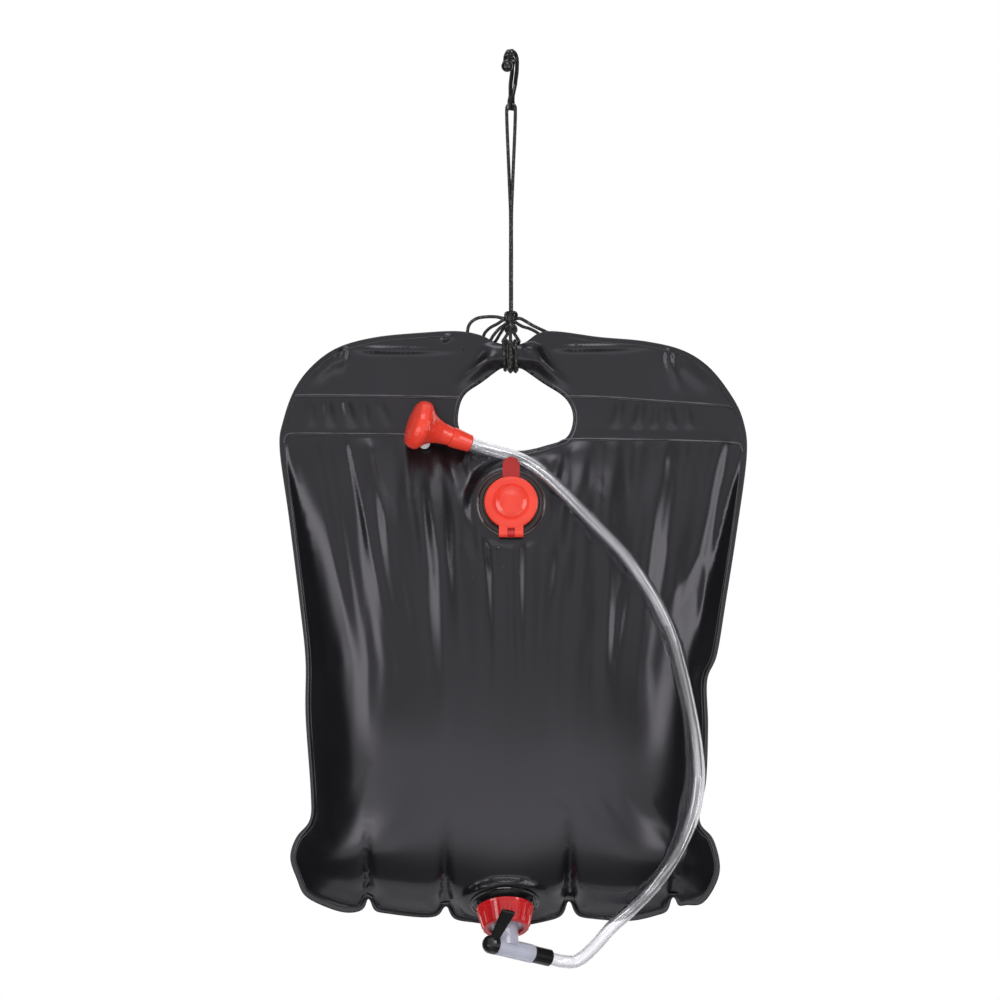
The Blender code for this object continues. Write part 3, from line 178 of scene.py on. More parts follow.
def swept(bm, points, radius_at, sides):
    """A closed tube along a path. radius_at(index, side) gives the reach of each corner."""
    rings = []
    for index, (point, directions) in enumerate(zip(points, carried_frames(points))):
        reaches = [radius_at(index, side) for side in range(sides)]
        rings.append(ring_round(bm, point, directions, reaches))
    for near, far in zip(rings, rings[1:]):
        bridge(bm, near, far)
    for ring, point in ((rings[0][::-1], points[0]), (rings[-1], points[-1])):
        middle = bm.verts.new(point)
        for side in range(sides):
            bm.faces.new((ring[side], ring[(side + 1) % sides], middle))


# %% [markdown]
# ## Finishes
# Every finish is a Principled shader with a little life in it: moulded plastic is never quite one
# colour or quite smooth, so slow noise varies colour and roughness, and a fine bump breaks up the
# reflections. A few short helpers add nodes and wire them, and each finish then only says how
# strong each part is.

# %% Hands that wire shaders
def tune(node, **values):
    """Set a node's inputs by name, with an underscore for each space."""
    for name, value in values.items():
        node.inputs[name.replace("_", " ")].default_value = value


def feed(tree, node, **sources):
    """Link (node, output) pairs to a node's inputs."""
    for name, (source, output) in sources.items():
        tree.links.new(source.outputs[output], node.inputs[name.replace("_", " ")])


def add_node(tree, kind, sources=None, **values):
    """A new node with some inputs set and others fed."""
    made = tree.nodes.new("ShaderNode" + kind)
    tune(made, **values)
    feed(tree, made, **(sources or {}))
    return made


def add_tones(tree, source, places, colours):
    """A ramp between two colours that a value picks from."""
    tones = add_node(tree, "ValToRGB", {"Fac": source})
    for element, place, colour in zip(tones.color_ramp.elements, places, colours):
        element.position = place
        element.color = (*colour, 1.0)
    return tones


def plain_finish(name, **values):
    """A material with some inputs of its Principled shader set."""
    made = bpy.data.materials.new(name)
    made.use_nodes = True
    shader = made.node_tree.nodes["Principled BSDF"]
    tune(shader, **values)
    return made, made.node_tree, shader


# %% A moulded finish
def moulded(name, colour, shade, roughness, grain=900.0, bump=0.05, patch=40.0, coat=0.0):
    """Plastic whose colour wanders between two tones, with a fine surface grain."""
    made, tree, shader = plain_finish(name, Coat_Weight=coat, Coat_Roughness=0.05)
    place = (add_node(tree, "TexCoord"), "Object")
    slow = (add_node(tree, "TexNoise", {"Vector": place}, Scale=patch, Detail=3.0), "Fac")
    tones = add_tones(tree, slow, (0.35, 0.65), (shade, colour))
    shine = add_node(tree, "MapRange", {"Value": slow},
                     To_Min=roughness * 0.85, To_Max=roughness * 1.2)
    fine = add_node(tree, "TexNoise", {"Vector": place}, Scale=grain, Detail=2.0)
    relief = add_node(tree, "Bump", {"Height": (fine, "Fac")}, Strength=bump, Distance=0.0004)
    feed(tree, shader, Base_Color=(tones, "Color"), Roughness=(shine, "Result"),
         Normal=(relief, "Normal"))
    return made


# %% [markdown]
# The hard pieces use six moulded finishes. The lid and the shower head are an orange red; the
# screw cap and the filler neck are a deeper, slightly see-through red; hook, flanges, lever and
# collar are glossy black; the stopcock's body is milky and lets light through.

# %% Finishes of the hard pieces
BRIGHT_RED = moulded("bright_red_plastic", (0.96, 0.068, 0.036), (0.88, 0.050, 0.026), 0.17, coat=0.25)
DEEP_RED = moulded("deep_red_plastic", (0.70, 0.012, 0.016), (0.52, 0.006, 0.010), 0.16, coat=0.4)
BLACK_PLASTIC = moulded("black_plastic", (0.011, 0.011, 0.012), (0.007, 0.007, 0.008), 0.13, coat=0.3)
RUBBER = moulded("black_rubber", (0.024, 0.024, 0.025), (0.018, 0.018, 0.018), 0.7, bump=0.2)
WHITE_PLASTIC = moulded("white_plastic", (0.80, 0.80, 0.80), (0.72, 0.72, 0.73), 0.3)
MILKY = moulded("milky_plastic", (0.78, 0.79, 0.90), (0.68, 0.69, 0.82), 0.16, coat=0.5)
tune(MILKY.node_tree.nodes["Principled BSDF"], Transmission_Weight=0.35, Subsurface_Weight=0.4,
     Subsurface_Radius=(0.004, 0.004, 0.005))
tune(DEEP_RED.node_tree.nodes["Principled BSDF"], Subsurface_Weight=0.25,
     Subsurface_Radius=(0.004, 0.0006, 0.0006))

NODE_FINISHES = {
    "hook": BLACK_PLASTIC, "filler_flange": BLACK_PLASTIC, "spout_flange": BLACK_PLASTIC,
    "valve_lever": BLACK_PLASTIC, "hose_collar": BLACK_PLASTIC, "filler_lid": BRIGHT_RED,
    "head_bell": BRIGHT_RED, "head_sleeve": BRIGHT_RED, "spray_plate": BRIGHT_RED,
    "filler_neck": DEEP_RED, "hinge_pin": DEEP_RED, "screw_cap": DEEP_RED,
    "valve_body": MILKY, "cap_gasket": RUBBER, "plug_seal": RUBBER, "head_clip": WHITE_PLASTIC,
}
for node_name, finish in NODE_FINISHES.items():
    mesh = frame["nodes"][node_name].data
    mesh.materials.clear()
    mesh.materials.append(finish)
print("finished", len(NODE_FINISHES), "hard pieces")

# %% [markdown]
# ## Rounded edges
# No moulded edge is truly sharp: a thin round along it catches the light and makes a piece look
# real. Most hard pieces are shown as copies of their solids with every sharp edge rounded a little,
# and with smooth shading over their facets.

# %% Rounded copies of the hard pieces
NODE_BODIES = {
    node: body for body, nodes in frame["record"]["behaviour"]["bodies"].items() for node in nodes
}


def rounded(node, width, angle):
    """A copy of a hard piece whose sharp edges are rounded by a width, shown in its place."""
    source = frame["nodes"][node]
    mesh = source.data.copy()
    mesh.shade_smooth()
    piece = add_object(node + "_rounded", mesh)
    piece.matrix_world = source.matrix_world.copy()
    edges = piece.modifiers.new("edges", "BEVEL")
    edges.width = width
    edges.segments = 2
    edges.limit_method = "ANGLE"
    edges.angle_limit = math.radians(angle)
    edges.harden_normals = True
    done = piece.evaluated_get(bpy.context.evaluated_depsgraph_get())
    piece.modifiers.clear()
    fresh = bpy.data.meshes.new_from_object(done)
    piece.data = fresh
    fresh.set_sharp_from_angle(angle=math.radians(angle))
    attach(piece, NODE_BODIES[node])
    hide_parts(node)
    return piece


ROUNDS = {
    "hook": (0.0004, 50), "filler_flange": (0.0003, 35), "spout_flange": (0.0003, 35),
    "filler_neck": (0.0003, 40), "filler_lid": (0.0004, 35), "screw_cap": (0.0003, 35),
    "valve_body": (0.0004, 40), "valve_lever": (0.0003, 40), "hose_collar": (0.0004, 40),
    "head_bell": (0.0003, 50), "head_sleeve": (0.0004, 40),
}
copies = {node_name: rounded(node_name, *sizes) for node_name, sizes in ROUNDS.items()}
face_count = sum(len(piece.data.polygons) for piece in copies.values())
print("rounded", len(copies), "pieces,", face_count, "faces")

# The hook's shank and bend are broad, and its tip is a glossy ball
HOOK_FATTER = 0.0009
HOOK_EYE_TOP = -0.034
hook_mesh = copies["hook"].data
for point in hook_mesh.vertices:
    if (copies["hook"].matrix_world @ point.co).z > HOOK_EYE_TOP:
        point.co += point.normal * HOOK_FATTER
hook_mesh.update()

# %% [markdown]
# The lid's lifting tab is thinner than the rest, so it looks darker and lets some light through. The
# flange under it has raised rings, painted a pale reddish grey on the black as thin glints of light:
# a painted highlight. The white button under the shower head is turned from a short profile.

# %% Tab, flange rings and button
FILLER = Matrix((
    (1, 0, 0, 0), (0, 0.2079, -0.9781, -0.0245), (0, 0.9781, 0.2079, -0.3951), (0, 0, 0, 1),
))
TAB_START = 0.0238
TAB_HALF_WIDTH = 0.009
TAB_RED = moulded("tab_red_plastic", (0.56, 0.012, 0.010), (0.46, 0.008, 0.008), 0.18, coat=0.3)
tune(TAB_RED.node_tree.nodes["Principled BSDF"], Transmission_Weight=0.25)
lid = copies["filler_lid"]
lid.data.materials.append(TAB_RED)
to_filler = FILLER.inverted() @ lid.matrix_world
for face in lid.data.polygons:
    middle = to_filler @ face.center
    if middle.y > TAB_START and abs(middle.x) < TAB_HALF_WIDTH:
        face.material_index = len(lid.data.materials) - 1

RING_RADII = (0.0255, 0.0277, 0.0299)
RING_SHAPE = ((-0.00035, -0.0001), (0.0, 0.0003), (0.00035, -0.0001))
# The rings' pale reddish grey is a painted highlight: thin glints of light on the black flange
RING_GLINT_PAINT = moulded("painted_ring_glints", (0.16, 0.075, 0.065), (0.07, 0.03, 0.028), 0.2)
flange = copies["filler_flange"]
ring_tree = BVHTree.FromObject(flange, bpy.context.evaluated_depsgraph_get())
to_flange = flange.matrix_world.inverted() @ FILLER
down = (to_flange.to_3x3() @ Vector((0, 0, -1))).normalized()
bm = bmesh.new()
for radius in RING_RADII:
    rows = []
    for step in range(96):
        angle = math.tau * step / 96
        out = Vector((math.cos(angle), math.sin(angle), 0))
        hit = ring_tree.ray_cast(to_flange @ (out * radius + Vector((0, 0, 0.02))), down)[0]
        level = (to_flange.inverted() @ hit).z if hit else 0.0012
        rows.append([bm.verts.new(FILLER @ (out * (radius + a) + Vector((0, 0, level + b))))
                     for a, b in RING_SHAPE])
    for near, far in zip(rows, rows[1:] + rows[:1]):
        bridge(bm, near, far, closed=False)
link_mesh("flange_rings", bm, RING_GLINT_PAINT, "bag")

BUTTON_PLACE = Vector((-0.0760, -0.0085, -0.3419))
BUTTON_PROFILE = (
    (0.0020, 0.0061), (0.0036, 0.0056), (0.0046, 0.0046), (0.0050, 0.0034), (0.0050, 0.0),
)
bm = bmesh.new()
rows = []
for radius, height in BUTTON_PROFILE:
    middle = BUTTON_PLACE - Vector((0, height, 0))
    rows.append(ring_round(bm, middle, (Vector((1, 0, 0)), Vector((0, 0, 1))), [radius] * 32))
for near, far in zip(rows, rows[1:]):
    bridge(bm, near, far)
bm.faces.new(rows[0])
bm.faces.new(rows[-1])
button = link_mesh("head_button", bm, WHITE_PLASTIC, "bag", 50)
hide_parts("head_clip")
print("tab, rings and button made")

# %% [markdown]
# ## Braided cord
# The cord is a thin black braid. Its tube is swept with a ring whose reach rises and falls in two
# crossing spirals, which is what a braid's strands do. A speckled finish paints pale specks on the
# black that stand for glints of light on the fibres: a painted highlight. The hanging cord doubles
# over the hook's eye and both strands run down to the knot.

# %% Cord finish
CORD_FINISH, cord_tree, cord_shader = plain_finish("black_cord", Roughness=0.45, Sheen_Weight=0.05)
cord_place = (add_node(cord_tree, "TexCoord"), "Object")
# Pale specks on the black cord: painted highlight, glints of light on the fibres
painted_cord_glints = add_node(cord_tree, "TexNoise", {"Vector": cord_place}, Scale=620.0, Detail=2.0)
cord_tones = add_tones(cord_tree, (painted_cord_glints, "Fac"), (0.55, 0.66),
                       ((0.005, 0.0045, 0.0045), (0.14, 0.13, 0.12)))
feed(cord_tree, cord_shader, Base_Color=(cord_tones, "Color"))
print("cord finish made")

# %% Braided tube
CORD = 0.003
CORD_STEP = 0.0005
BRAID_PITCH = 0.0062
BRAID_SIDES = 16


def braid_reach(index, side):
    """How far the braid's surface stands from its middle."""
    turn = 4 * side / BRAID_SIDES
    climb = 2 * index * CORD_STEP / BRAID_PITCH
    strands = math.cos(math.tau * (turn + climb)) * math.cos(math.tau * (turn - climb))
    return CORD / 2 * (0.94 + 0.13 * strands)


def braided(name, route, node=None, body="bag"):
    """A braided cord along a path, shown in place of its plain solid if it has one."""
    points = evenly(route, CORD_STEP)
    bm = bmesh.new()
    swept(bm, points, braid_reach, BRAID_SIDES)
    piece = link_mesh(name, bm, CORD_FINISH, body)
    if node:
        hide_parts(node)
    print(name, round(length_of(points) * 1000), "mm of cord")

# %% Hanging cord
EYE_DROP = 0.0472
EYE_TURN = math.radians(26.7)
EYE_BEND = 0.0042
KNOT_DROP = 0.2323
KNOT_RADIUS = 0.0062
GAP = 0.0003
across_eye = Vector((math.cos(EYE_TURN), -math.sin(EYE_TURN), 0))
cord_end = KNOT_RADIUS + GAP - KNOT_DROP
cord_span = cord_end + EYE_DROP
strand_foot = Vector((0.0004, -0.00150, 0))
# Shares of the way up to the eye, and of the way out to the eye's side
STRAND_SHARES = (
    (0.0, 0.0), (0.25, 0.0), (0.47, 0.0), (0.58, 0.20), (0.74, 0.55), (0.88, 0.86), (0.96, 1.0),
)
right_strand = []
for share, out in STRAND_SHARES:
    spot = strand_foot.lerp(across_eye * EYE_BEND, out)
    right_strand.append(Vector((spot.x, spot.y, cord_end - cord_span * share)))
cord_route = list(right_strand)
for step in range(7):
    angle = step * math.pi / 6
    cord_route.append(across_eye * EYE_BEND * math.cos(angle)
                      + Vector((0, 0, EYE_BEND * math.sin(angle) - EYE_DROP)))
for point in reversed(right_strand):
    cord_route.append(Vector((-point.x, -point.y, point.z)))
braided("hanging_braid", through(cord_route, 8), "hanging_cord", "cord")

# %% [markdown]
# ## Bow and turns
# The free ends are tied in a bow: a big and a small loop to the left, one to the right. Each loop
# is its own route from the knot and back. The knot is drawn as two clover turns round a hidden
# winding, with two strands that run down over the band. Under the knot the same cord goes round
# the bag's gathered band in four turns, as one unbroken winding.

# %% Bow loops
BOW_ROUTES = {
    "bow_loop_large": (
        (-0.0063, -0.0010, 0.0006), (-0.0130, -0.0006, 0.0018), (-0.0210, 0.0010, 0.0020),
        (-0.0300, 0.0022, 0.0006), (-0.0362, 0.0034, -0.0040), (-0.0383, 0.0044, -0.0110),
        (-0.0370, 0.0046, -0.0190), (-0.0318, 0.0046, -0.0246), (-0.0246, 0.0048, -0.0250),
        (-0.0190, 0.0044, -0.0198), (-0.0152, 0.0030, -0.0140), (-0.0105, 0.0014, -0.0086),
        (-0.0049, 0.0007, -0.0043),
    ),
    "bow_loop_small": (
        (-0.0057, 0.0029, -0.0008), (-0.0118, 0.0056, -0.0040), (-0.0186, 0.0078, -0.0076),
        (-0.0236, 0.0086, -0.0130), (-0.0238, 0.0090, -0.0190), (-0.0192, 0.0092, -0.0226),
        (-0.0140, 0.0092, -0.0196), (-0.0104, 0.0080, -0.0140), (-0.0068, 0.0062, -0.0086),
        (-0.0029, 0.0040, -0.0042),
    ),
    "bow_loop_right": (
        (0.0063, -0.0006, 0.0003), (0.0122, -0.0002, -0.0016), (0.0186, 0.0010, -0.0054),
        (0.0256, 0.0026, -0.0088), (0.0330, 0.0042, -0.0124), (0.0380, 0.0046, -0.0180),
        (0.0362, 0.0050, -0.0226), (0.0300, 0.0058, -0.0180), (0.0236, 0.0062, -0.0122),
        (0.0166, 0.0062, -0.0084), (0.0106, 0.0052, -0.0066), (0.0052, 0.0029, -0.0036),
    ),
}
LOOP_ENDS = (0.0038, 0.0080)
for name, route in BOW_ROUTES.items():
    given = [Vector(point) for point in route]
    start = given[0].normalized()
    end = given[-1].normalized()
    bend = [start * near for near in LOOP_ENDS] + given[1:-1] + [end * near for near in LOOP_ENDS[::-1]]
    placed = [point - Vector((0, 0, KNOT_DROP)) for point in bend]
    braided(name.replace("loop", "braid"), through(placed, 8), name)

# %% The knot itself
def knot_turns(wide, tall, drop):
    """A clover of cord: three lobes that pass over and under one another."""
    route = []
    for step in range(61):
        t = math.tau * (0.012 + 0.976 * step / 60)
        route.append(Vector((wide * (math.sin(t) + 2 * math.sin(2 * t)),
                             0.0024 * math.sin(3 * t) - 0.0004,
                             tall * (math.cos(t) - 2 * math.cos(2 * t)) - drop)))
    return route


def winding(radius, pitch, count, top):
    """Turns of cord round an upright line, from the top down."""
    angles = [math.tau * count * step / 120 for step in range(121)]
    return [Vector((radius * math.sin(angle), 0.0004 + radius * math.cos(angle),
                    top - pitch * angle / math.tau)) for angle in angles]


FRONT_STRAND = (
    (-1.2, -5.2, -228.5), (-0.9, -7.0, -232.5), (-0.4, -7.6, -238), (-0.5, -8.2, -246),
    (-0.4, -9.3, -253), (-0.5, -10.7, -260), (-0.6, -10.8, -268), (-0.7, -10.0, -275),
    (-0.6, -7.4, -278.6), (-0.4, -4.2, -279.0),
)
SLANTING_STRAND = (
    (-5.6, -1.0, -250.0), (-4.6, -5.0, -251.4), (-1.0, -10.4, -254.0), (2.6, -9.4, -257.6),
    (4.4, -10.2, -262.0), (4.6, -10.8, -268), (4.4, -9.6, -275), (4.2, -6.6, -278.4),
    (4.0, -4.0, -278.8),
)
KNOT_ROUTES = {
    "tied_knot": knot_turns(0.00172, 0.00215, KNOT_DROP - 0.0012),
    "middle_knot": knot_turns(0.00160, -0.00215, KNOT_DROP + 0.0072),
    "knot_core": winding(0.0022, 0.0031, 4.6, 0.0062 - KNOT_DROP),
    "front_strand": [Vector(point) / 1000 for point in FRONT_STRAND],
    "slanting_strand": [Vector(point) / 1000 for point in SLANTING_STRAND],
}
for name, route in KNOT_ROUTES.items():
    braided(name, through(route, 6), "cord_knot" if name == "tied_knot" else None)

# %% Turns round the band
BAND_DROP = 0.2644
BAND_HALF_HEIGHT = 0.0103
FILM = 0.0006
SHEET_GAP = 0.00015
BAND_GATHER = 0.0052 - FILM
BAND_DEEP = BAND_GATHER + SHEET_GAP
WRAP_OFF = FILM + 2 * GAP + CORD / 2
WRAP_COUNT = 4
WRAP_PITCH = 0.00345
WRAP_ENDS_APART = 0.0035
wrap_width = WRAP_COUNT * WRAP_PITCH
turns = []
for step in range(97):
    angle = math.tau * step / 24
    across = -math.sin(angle)
    up = math.cos(angle)
    normal = Vector((across / BAND_DEEP, up / BAND_HALF_HEIGHT)).normalized()
    turns.append(Vector((wrap_width * (step / 96 - 0.5), BAND_DEEP * across + WRAP_OFF * normal.x,
                         BAND_HALF_HEIGHT * up + WRAP_OFF * normal.y - BAND_DROP)))
knot_low = -KNOT_DROP - KNOT_RADIUS - GAP
wrap_start = Vector((-WRAP_ENDS_APART / 2, 0, knot_low))
wrap_end = Vector((WRAP_ENDS_APART / 2, 0, knot_low))
rise = knot_low + BAND_DROP - BAND_HALF_HEIGHT - WRAP_OFF
wrap_route = [wrap_start, wrap_start - Vector((0, 0, rise / 3))] + turns
wrap_route += [wrap_end - Vector((0, 0, rise / 3)), wrap_end]
braided("band_braid", through(wrap_route, 4), "cord_wraps")

# %% [markdown]
# ## Clear hose
# A soft clear hose runs from the stopcock up the front of the bag to the shower head. It was
# modelled as its real length along listed points, straight out of both ends. The same points
# are repeated here, as shares of the bag's size, and swept into a tube with a bore.

# %% Hose route
BAG_WIDTH = 0.411
BAG_HEIGHT = 0.519
FRONT_DEPTH = 0.056
BACK_DEPTH = 0.066
TOP_Z = -0.242982
HOSE = 0.012
HOSE_ROUTE_SHARES = (
    (0.2774, 0.3839, 1.0636), (0.3406, 0.3393, 1.0453), (0.4258, 0.3214, 1.0087),
    (0.5109, 0.3786, 0.9769), (0.5888, 0.5500, 0.9442), (0.6618, 0.5804, 0.9075),
    (0.7202, 0.5179, 0.8690), (0.7737, 0.3661, 0.8189), (0.7981, 0.3000, 0.7611),
    (0.7883, 0.3268, 0.7033), (0.7591, 0.3929, 0.6378), (0.7202, 0.5054, 0.5704),
    (0.6740, 0.6161, 0.5068), (0.5937, 0.6839, 0.4432), (0.4793, 0.6911, 0.3777),
    (0.3406, 0.6393, 0.3208), (0.2190, 0.5179, 0.2717), (0.1241, 0.4161, 0.2380),
    (0.0389, 0.3071, 0.2178), (-0.0535, 0.2679, 0.2066),
)
SPOUT = Matrix((
    (0.99863, -0.02696, 0.04486, -0.0056), (0.0, -0.85717, -0.51504, -0.0300),
    (0.05234, 0.51443, -0.85599, -0.742972), (0, 0, 0, 1),
))
CROSS_PLACE = Vector((-0.003626, -0.052662, -0.780636))
CROSS_AXIS = Vector((0.84297, 0.47932, -0.24422))
HEAD_PLACE = Vector((-0.0884, -0.0285, -0.322982))
HEAD_AXIS = Vector((0.91178, 0.24192, -0.33186))
CROSS_REACH = 0.0446
HEAD_REACH = 0.0583
hose_route = [CROSS_PLACE + CROSS_AXIS * (CROSS_REACH + HOSE * share) for share in (0.0, 0.5, 1.0)]
for across, out, down in HOSE_ROUTE_SHARES:
    hose_route.append(Vector((across * BAG_WIDTH / 2, -out * FRONT_DEPTH, TOP_Z - down * BAG_HEIGHT)))
hose_route += [HEAD_PLACE + HEAD_AXIS * (HEAD_REACH + HOSE * share) for share in (1.0, 0.5, 0.0)]
hose_path = evenly(through(hose_route, 10), 0.0025)
print("hose", round(length_of(hose_path), 4), "m")

# %% [markdown]
# Clear soft plastic bends light: what is behind it shows through its middle, and its rims gather
# light. The shader lets light through with the bending of vinyl, a clear coat sharpens its rims,
# and a slow bump breaks up the shine.

# %% Clear finish
CLEAR, clear_tree, clear_shader = plain_finish(
    "clear_hose", Base_Color=(0.95, 0.95, 0.98, 1.0), Roughness=0.03, IOR=1.52,
    Transmission_Weight=0.98, Coat_Weight=1.0, Coat_Roughness=0.03, Coat_IOR=1.7)
clear_place = (add_node(clear_tree, "TexCoord"), "Object")
clear_streak = add_node(clear_tree, "TexNoise", {"Vector": clear_place}, Scale=45.0, Detail=3.0)
clear_relief = add_node(clear_tree, "Bump", {"Height": (clear_streak, "Fac")},
                        Strength=0.08, Distance=0.0008)
feed(clear_tree, clear_shader, Normal=(clear_relief, "Normal"))
print("clear finish made")

# %% Hose tube with its bore
HOSE_BORE = 0.009


def hollow(name, points, outer, inner, sides, finish, body):
    """A tube with a bore: an outer and an inner wall joined by flat rings at both ends."""
    bm = bmesh.new()
    walls = []
    for radius in (outer, inner):
        rings = [ring_round(bm, point, directions, [radius] * sides)
                 for point, directions in zip(points, carried_frames(points))]
        for near, far in zip(rings, rings[1:]):
            bridge(bm, near, far)
        walls.append(rings)
    for end in (0, -1):
        bridge(bm, walls[0][end], walls[1][end])
    return link_mesh(name, bm, finish, body, 40)


hose_tube = hollow("hose_clear_tube", hose_path, HOSE / 2, HOSE_BORE / 2, 28, CLEAR, "bag")
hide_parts("hose")

# %% [markdown]
# ## The bag's outline
# The bag is two sheets of film welded round the edge. Its outline was read from the photograph as
# shares of half its width and of its height, and a smooth curve joins them. The handle hole is cut
# through the welded header in the same way.

# %% Outline and handle hole
OUTLINE_SHARES = (
    (-0.844, -0.056), (-0.737, -0.027), (-0.578, -0.010), (-0.364, -0.002), (-0.223, 0.0),
    (-0.128, -0.007), (-0.047, -0.022), (0.047, -0.022), (0.150, 0.0), (0.381, -0.010),
    (0.574, -0.017), (0.733, -0.032), (0.848, -0.061), (0.942, -0.108), (0.994, -0.151),
    (1.010, -0.210), (0.968, -0.337), (0.921, -0.456), (0.882, -0.549), (0.840, -0.592),
    (0.844, -0.668), (0.836, -0.761), (0.807, -0.829), (0.865, -0.860), (0.895, -0.905),
    (0.876, -0.939), (0.818, -0.971), (0.745, -0.973), (0.718, -0.976), (0.694, -0.957),
    (0.672, -0.982), (0.638, -0.989), (0.510, -1.000), (0.338, -0.996), (0.278, -0.989),
    (0.248, -0.964), (0.220, -0.990), (0.146, -1.001), (0.0, -1.010), (-0.154, -1.003),
    (-0.246, -0.996), (-0.278, -0.973), (-0.312, -0.991), (-0.390, -0.994), (-0.540, -0.987),
    (-0.586, -0.982), (-0.610, -0.960), (-0.634, -0.981), (-0.711, -0.986), (-0.814, -0.973),
    (-0.886, -0.956), (-0.916, -0.930), (-0.946, -0.893), (-0.920, -0.858), (-0.862, -0.829),
    (-0.858, -0.780), (-0.880, -0.651), (-0.880, -0.558), (-0.904, -0.466), (-0.951, -0.317),
    (-0.991, -0.200), (-0.976, -0.152), (-0.925, -0.097),
)
HOLE_SHARES = (
    (-0.080, 0.0), (-0.245, -0.175), (-0.410, -0.343), (-0.462, -0.595), (-0.440, -0.770),
    (-0.350, -0.905), (-0.105, -0.980), (0.105, -1.0), (0.314, -0.935), (0.488, -0.840),
    (0.541, -0.590), (0.470, -0.370), (0.275, -0.190), (0.080, 0.0),
)
HOLE_WIDTH = 0.101
HOLE_HEIGHT = 0.0735
HOLE_TOP = -BAND_DROP - BAND_HALF_HEIGHT
EDGE_STEP = 0.0040


def flat_line(shares, wide, high, top, closed):
    """A smooth line in the bag's plane with even spacing, as an array of (x, z)."""
    curve = through([Vector((x * wide, top + z * high, 0)) for x, z in shares], 12, closed)
    even = evenly(curve + [curve[0]], EDGE_STEP)[:-1] if closed else evenly(curve, EDGE_STEP)
    return np.array([(point.x, point.y) for point in even])


outline = flat_line(OUTLINE_SHARES, BAG_WIDTH / 2, BAG_HEIGHT, TOP_Z, True)
hole = flat_line(HOLE_SHARES, HOLE_WIDTH, HOLE_HEIGHT, HOLE_TOP, False)
print("outline", len(outline), "points, hole", len(hole), "points")

# %% [markdown]
# Three questions come up for many points at once: is a point inside a closed outline, how far is it
# from the edge, and where does a line through it meet the edge. Arrays answer them for thousands of
# points in one go, which keeps the script quick.

# %% Questions about points
def edge_gap(loop, spots):
    """Distance from each spot to a closed loop."""
    least = np.full(len(spots), 9.0)
    for near, far in zip(loop, np.roll(loop, -1, axis=0)):
        span = far - near
        part = np.clip(((spots - near) @ span) / max(span @ span, 1e-12), 0, 1)
        least = np.minimum(least, np.linalg.norm(near + part[:, None] * span - spots, axis=1))
    return least


def within(loop, spots):
    """Whether each spot is inside a closed loop."""
    odd = np.zeros(len(spots), bool)
    for (x1, z1), (x2, z2) in zip(loop, np.roll(loop, -1, axis=0)):
        if z1 == z2:
            continue
        crossing = (z1 < spots[:, 1]) != (z2 < spots[:, 1])
        place = x1 + (spots[:, 1] - z1) / (z2 - z1) * (x2 - x1)
        odd ^= crossing & (place < spots[:, 0])
    return odd


def edge_span(loop, spots, axis):
    """Lowest and highest place where a line through each spot meets the loop."""
    low = np.full(len(spots), 9.0)
    high = np.full(len(spots), -9.0)
    for near, far in zip(loop, np.roll(loop, -1, axis=0)):
        if near[axis] == far[axis]:
            continue
        at = spots[:, axis]
        crossing = (near[axis] < at) != (far[axis] < at)
        part = (at - near[axis]) / (far[axis] - near[axis])
        place = near[1 - axis] + (far[1 - axis] - near[1 - axis]) * part
        low = np.where(crossing, np.minimum(low, place), low)
        high = np.where(crossing, np.maximum(high, place), high)
    return low, high


def ease(value, low, high):
    """0 below low, 1 above high, an S curve between."""
    t = np.clip((value - low) / (high - low), 0, 1)
    return t * t * (3 - 2 * t)


# %% [markdown]
# ## How far the film stands out
# A filled bag is a pillow: flat at its weld, steep just inside it, and almost level in the middle.
# Water sinks, so the belly is low. One table gives the swell up the bag, one formula gives it from
# side to side, and a quarter circle rounds it off at the weld.

# %% Swell of the bag
WELD = 0.004
RIM_REACH = 0.014
SEAM_SIDE = TOP_Z - 0.0905
SEAM_MIDDLE = HOLE_TOP - HOLE_HEIGHT - WELD
SWELL_SHARES = np.array((
    (0.0, 0.0), (0.020, 0.20), (0.048, 0.47), (0.084, 0.80), (0.15, 0.97), (0.30, 1.0),
    (0.45, 0.97), (0.60, 0.86), (0.75, 0.66), (0.86, 0.40), (0.94, 0.15), (1.0, 0.0),
))


def seam_height(x):
    """Height of the weld that ends the water space."""
    return SEAM_MIDDLE + (SEAM_SIDE - SEAM_MIDDLE) * ease(np.abs(x), 0, 0.075)


def smooth_table(table, at):
    """Read a smooth curve through a table of places and values."""
    places, values = table[:, 0], table[:, 1]
    index = np.clip(np.searchsorted(places, at), 1, len(places) - 1)
    low, high = index - 1, index
    before, after = np.maximum(index - 2, 0), np.minimum(index + 1, len(places) - 1)
    span = places[high] - places[low]
    t = (at - places[low]) / span
    slope_low = span * (values[high] - values[before]) / (places[high] - places[before])
    slope_high = span * (values[after] - values[low]) / (places[after] - places[low])
    return ((2 * t ** 3 - 3 * t ** 2 + 1) * values[low] + (t ** 3 - 2 * t ** 2 + t) * slope_low
            + (3 * t ** 2 - 2 * t ** 3) * values[high] + (t ** 3 - t ** 2) * slope_high)


levels = np.linspace(outline[:, 1].min() + 1e-4, outline[:, 1].max() - 1e-4, 400)
level_spans = edge_span(outline, np.stack([np.zeros(400), levels], axis=1), 1)
level_step = levels[1] - levels[0]
blur = np.exp(-(np.arange(-30, 31) * level_step / 0.016) ** 2)
blur /= blur.sum()
smooth_spans = [np.convolve(np.pad(span, 30, "edge"), blur, "valid") for span in level_spans]


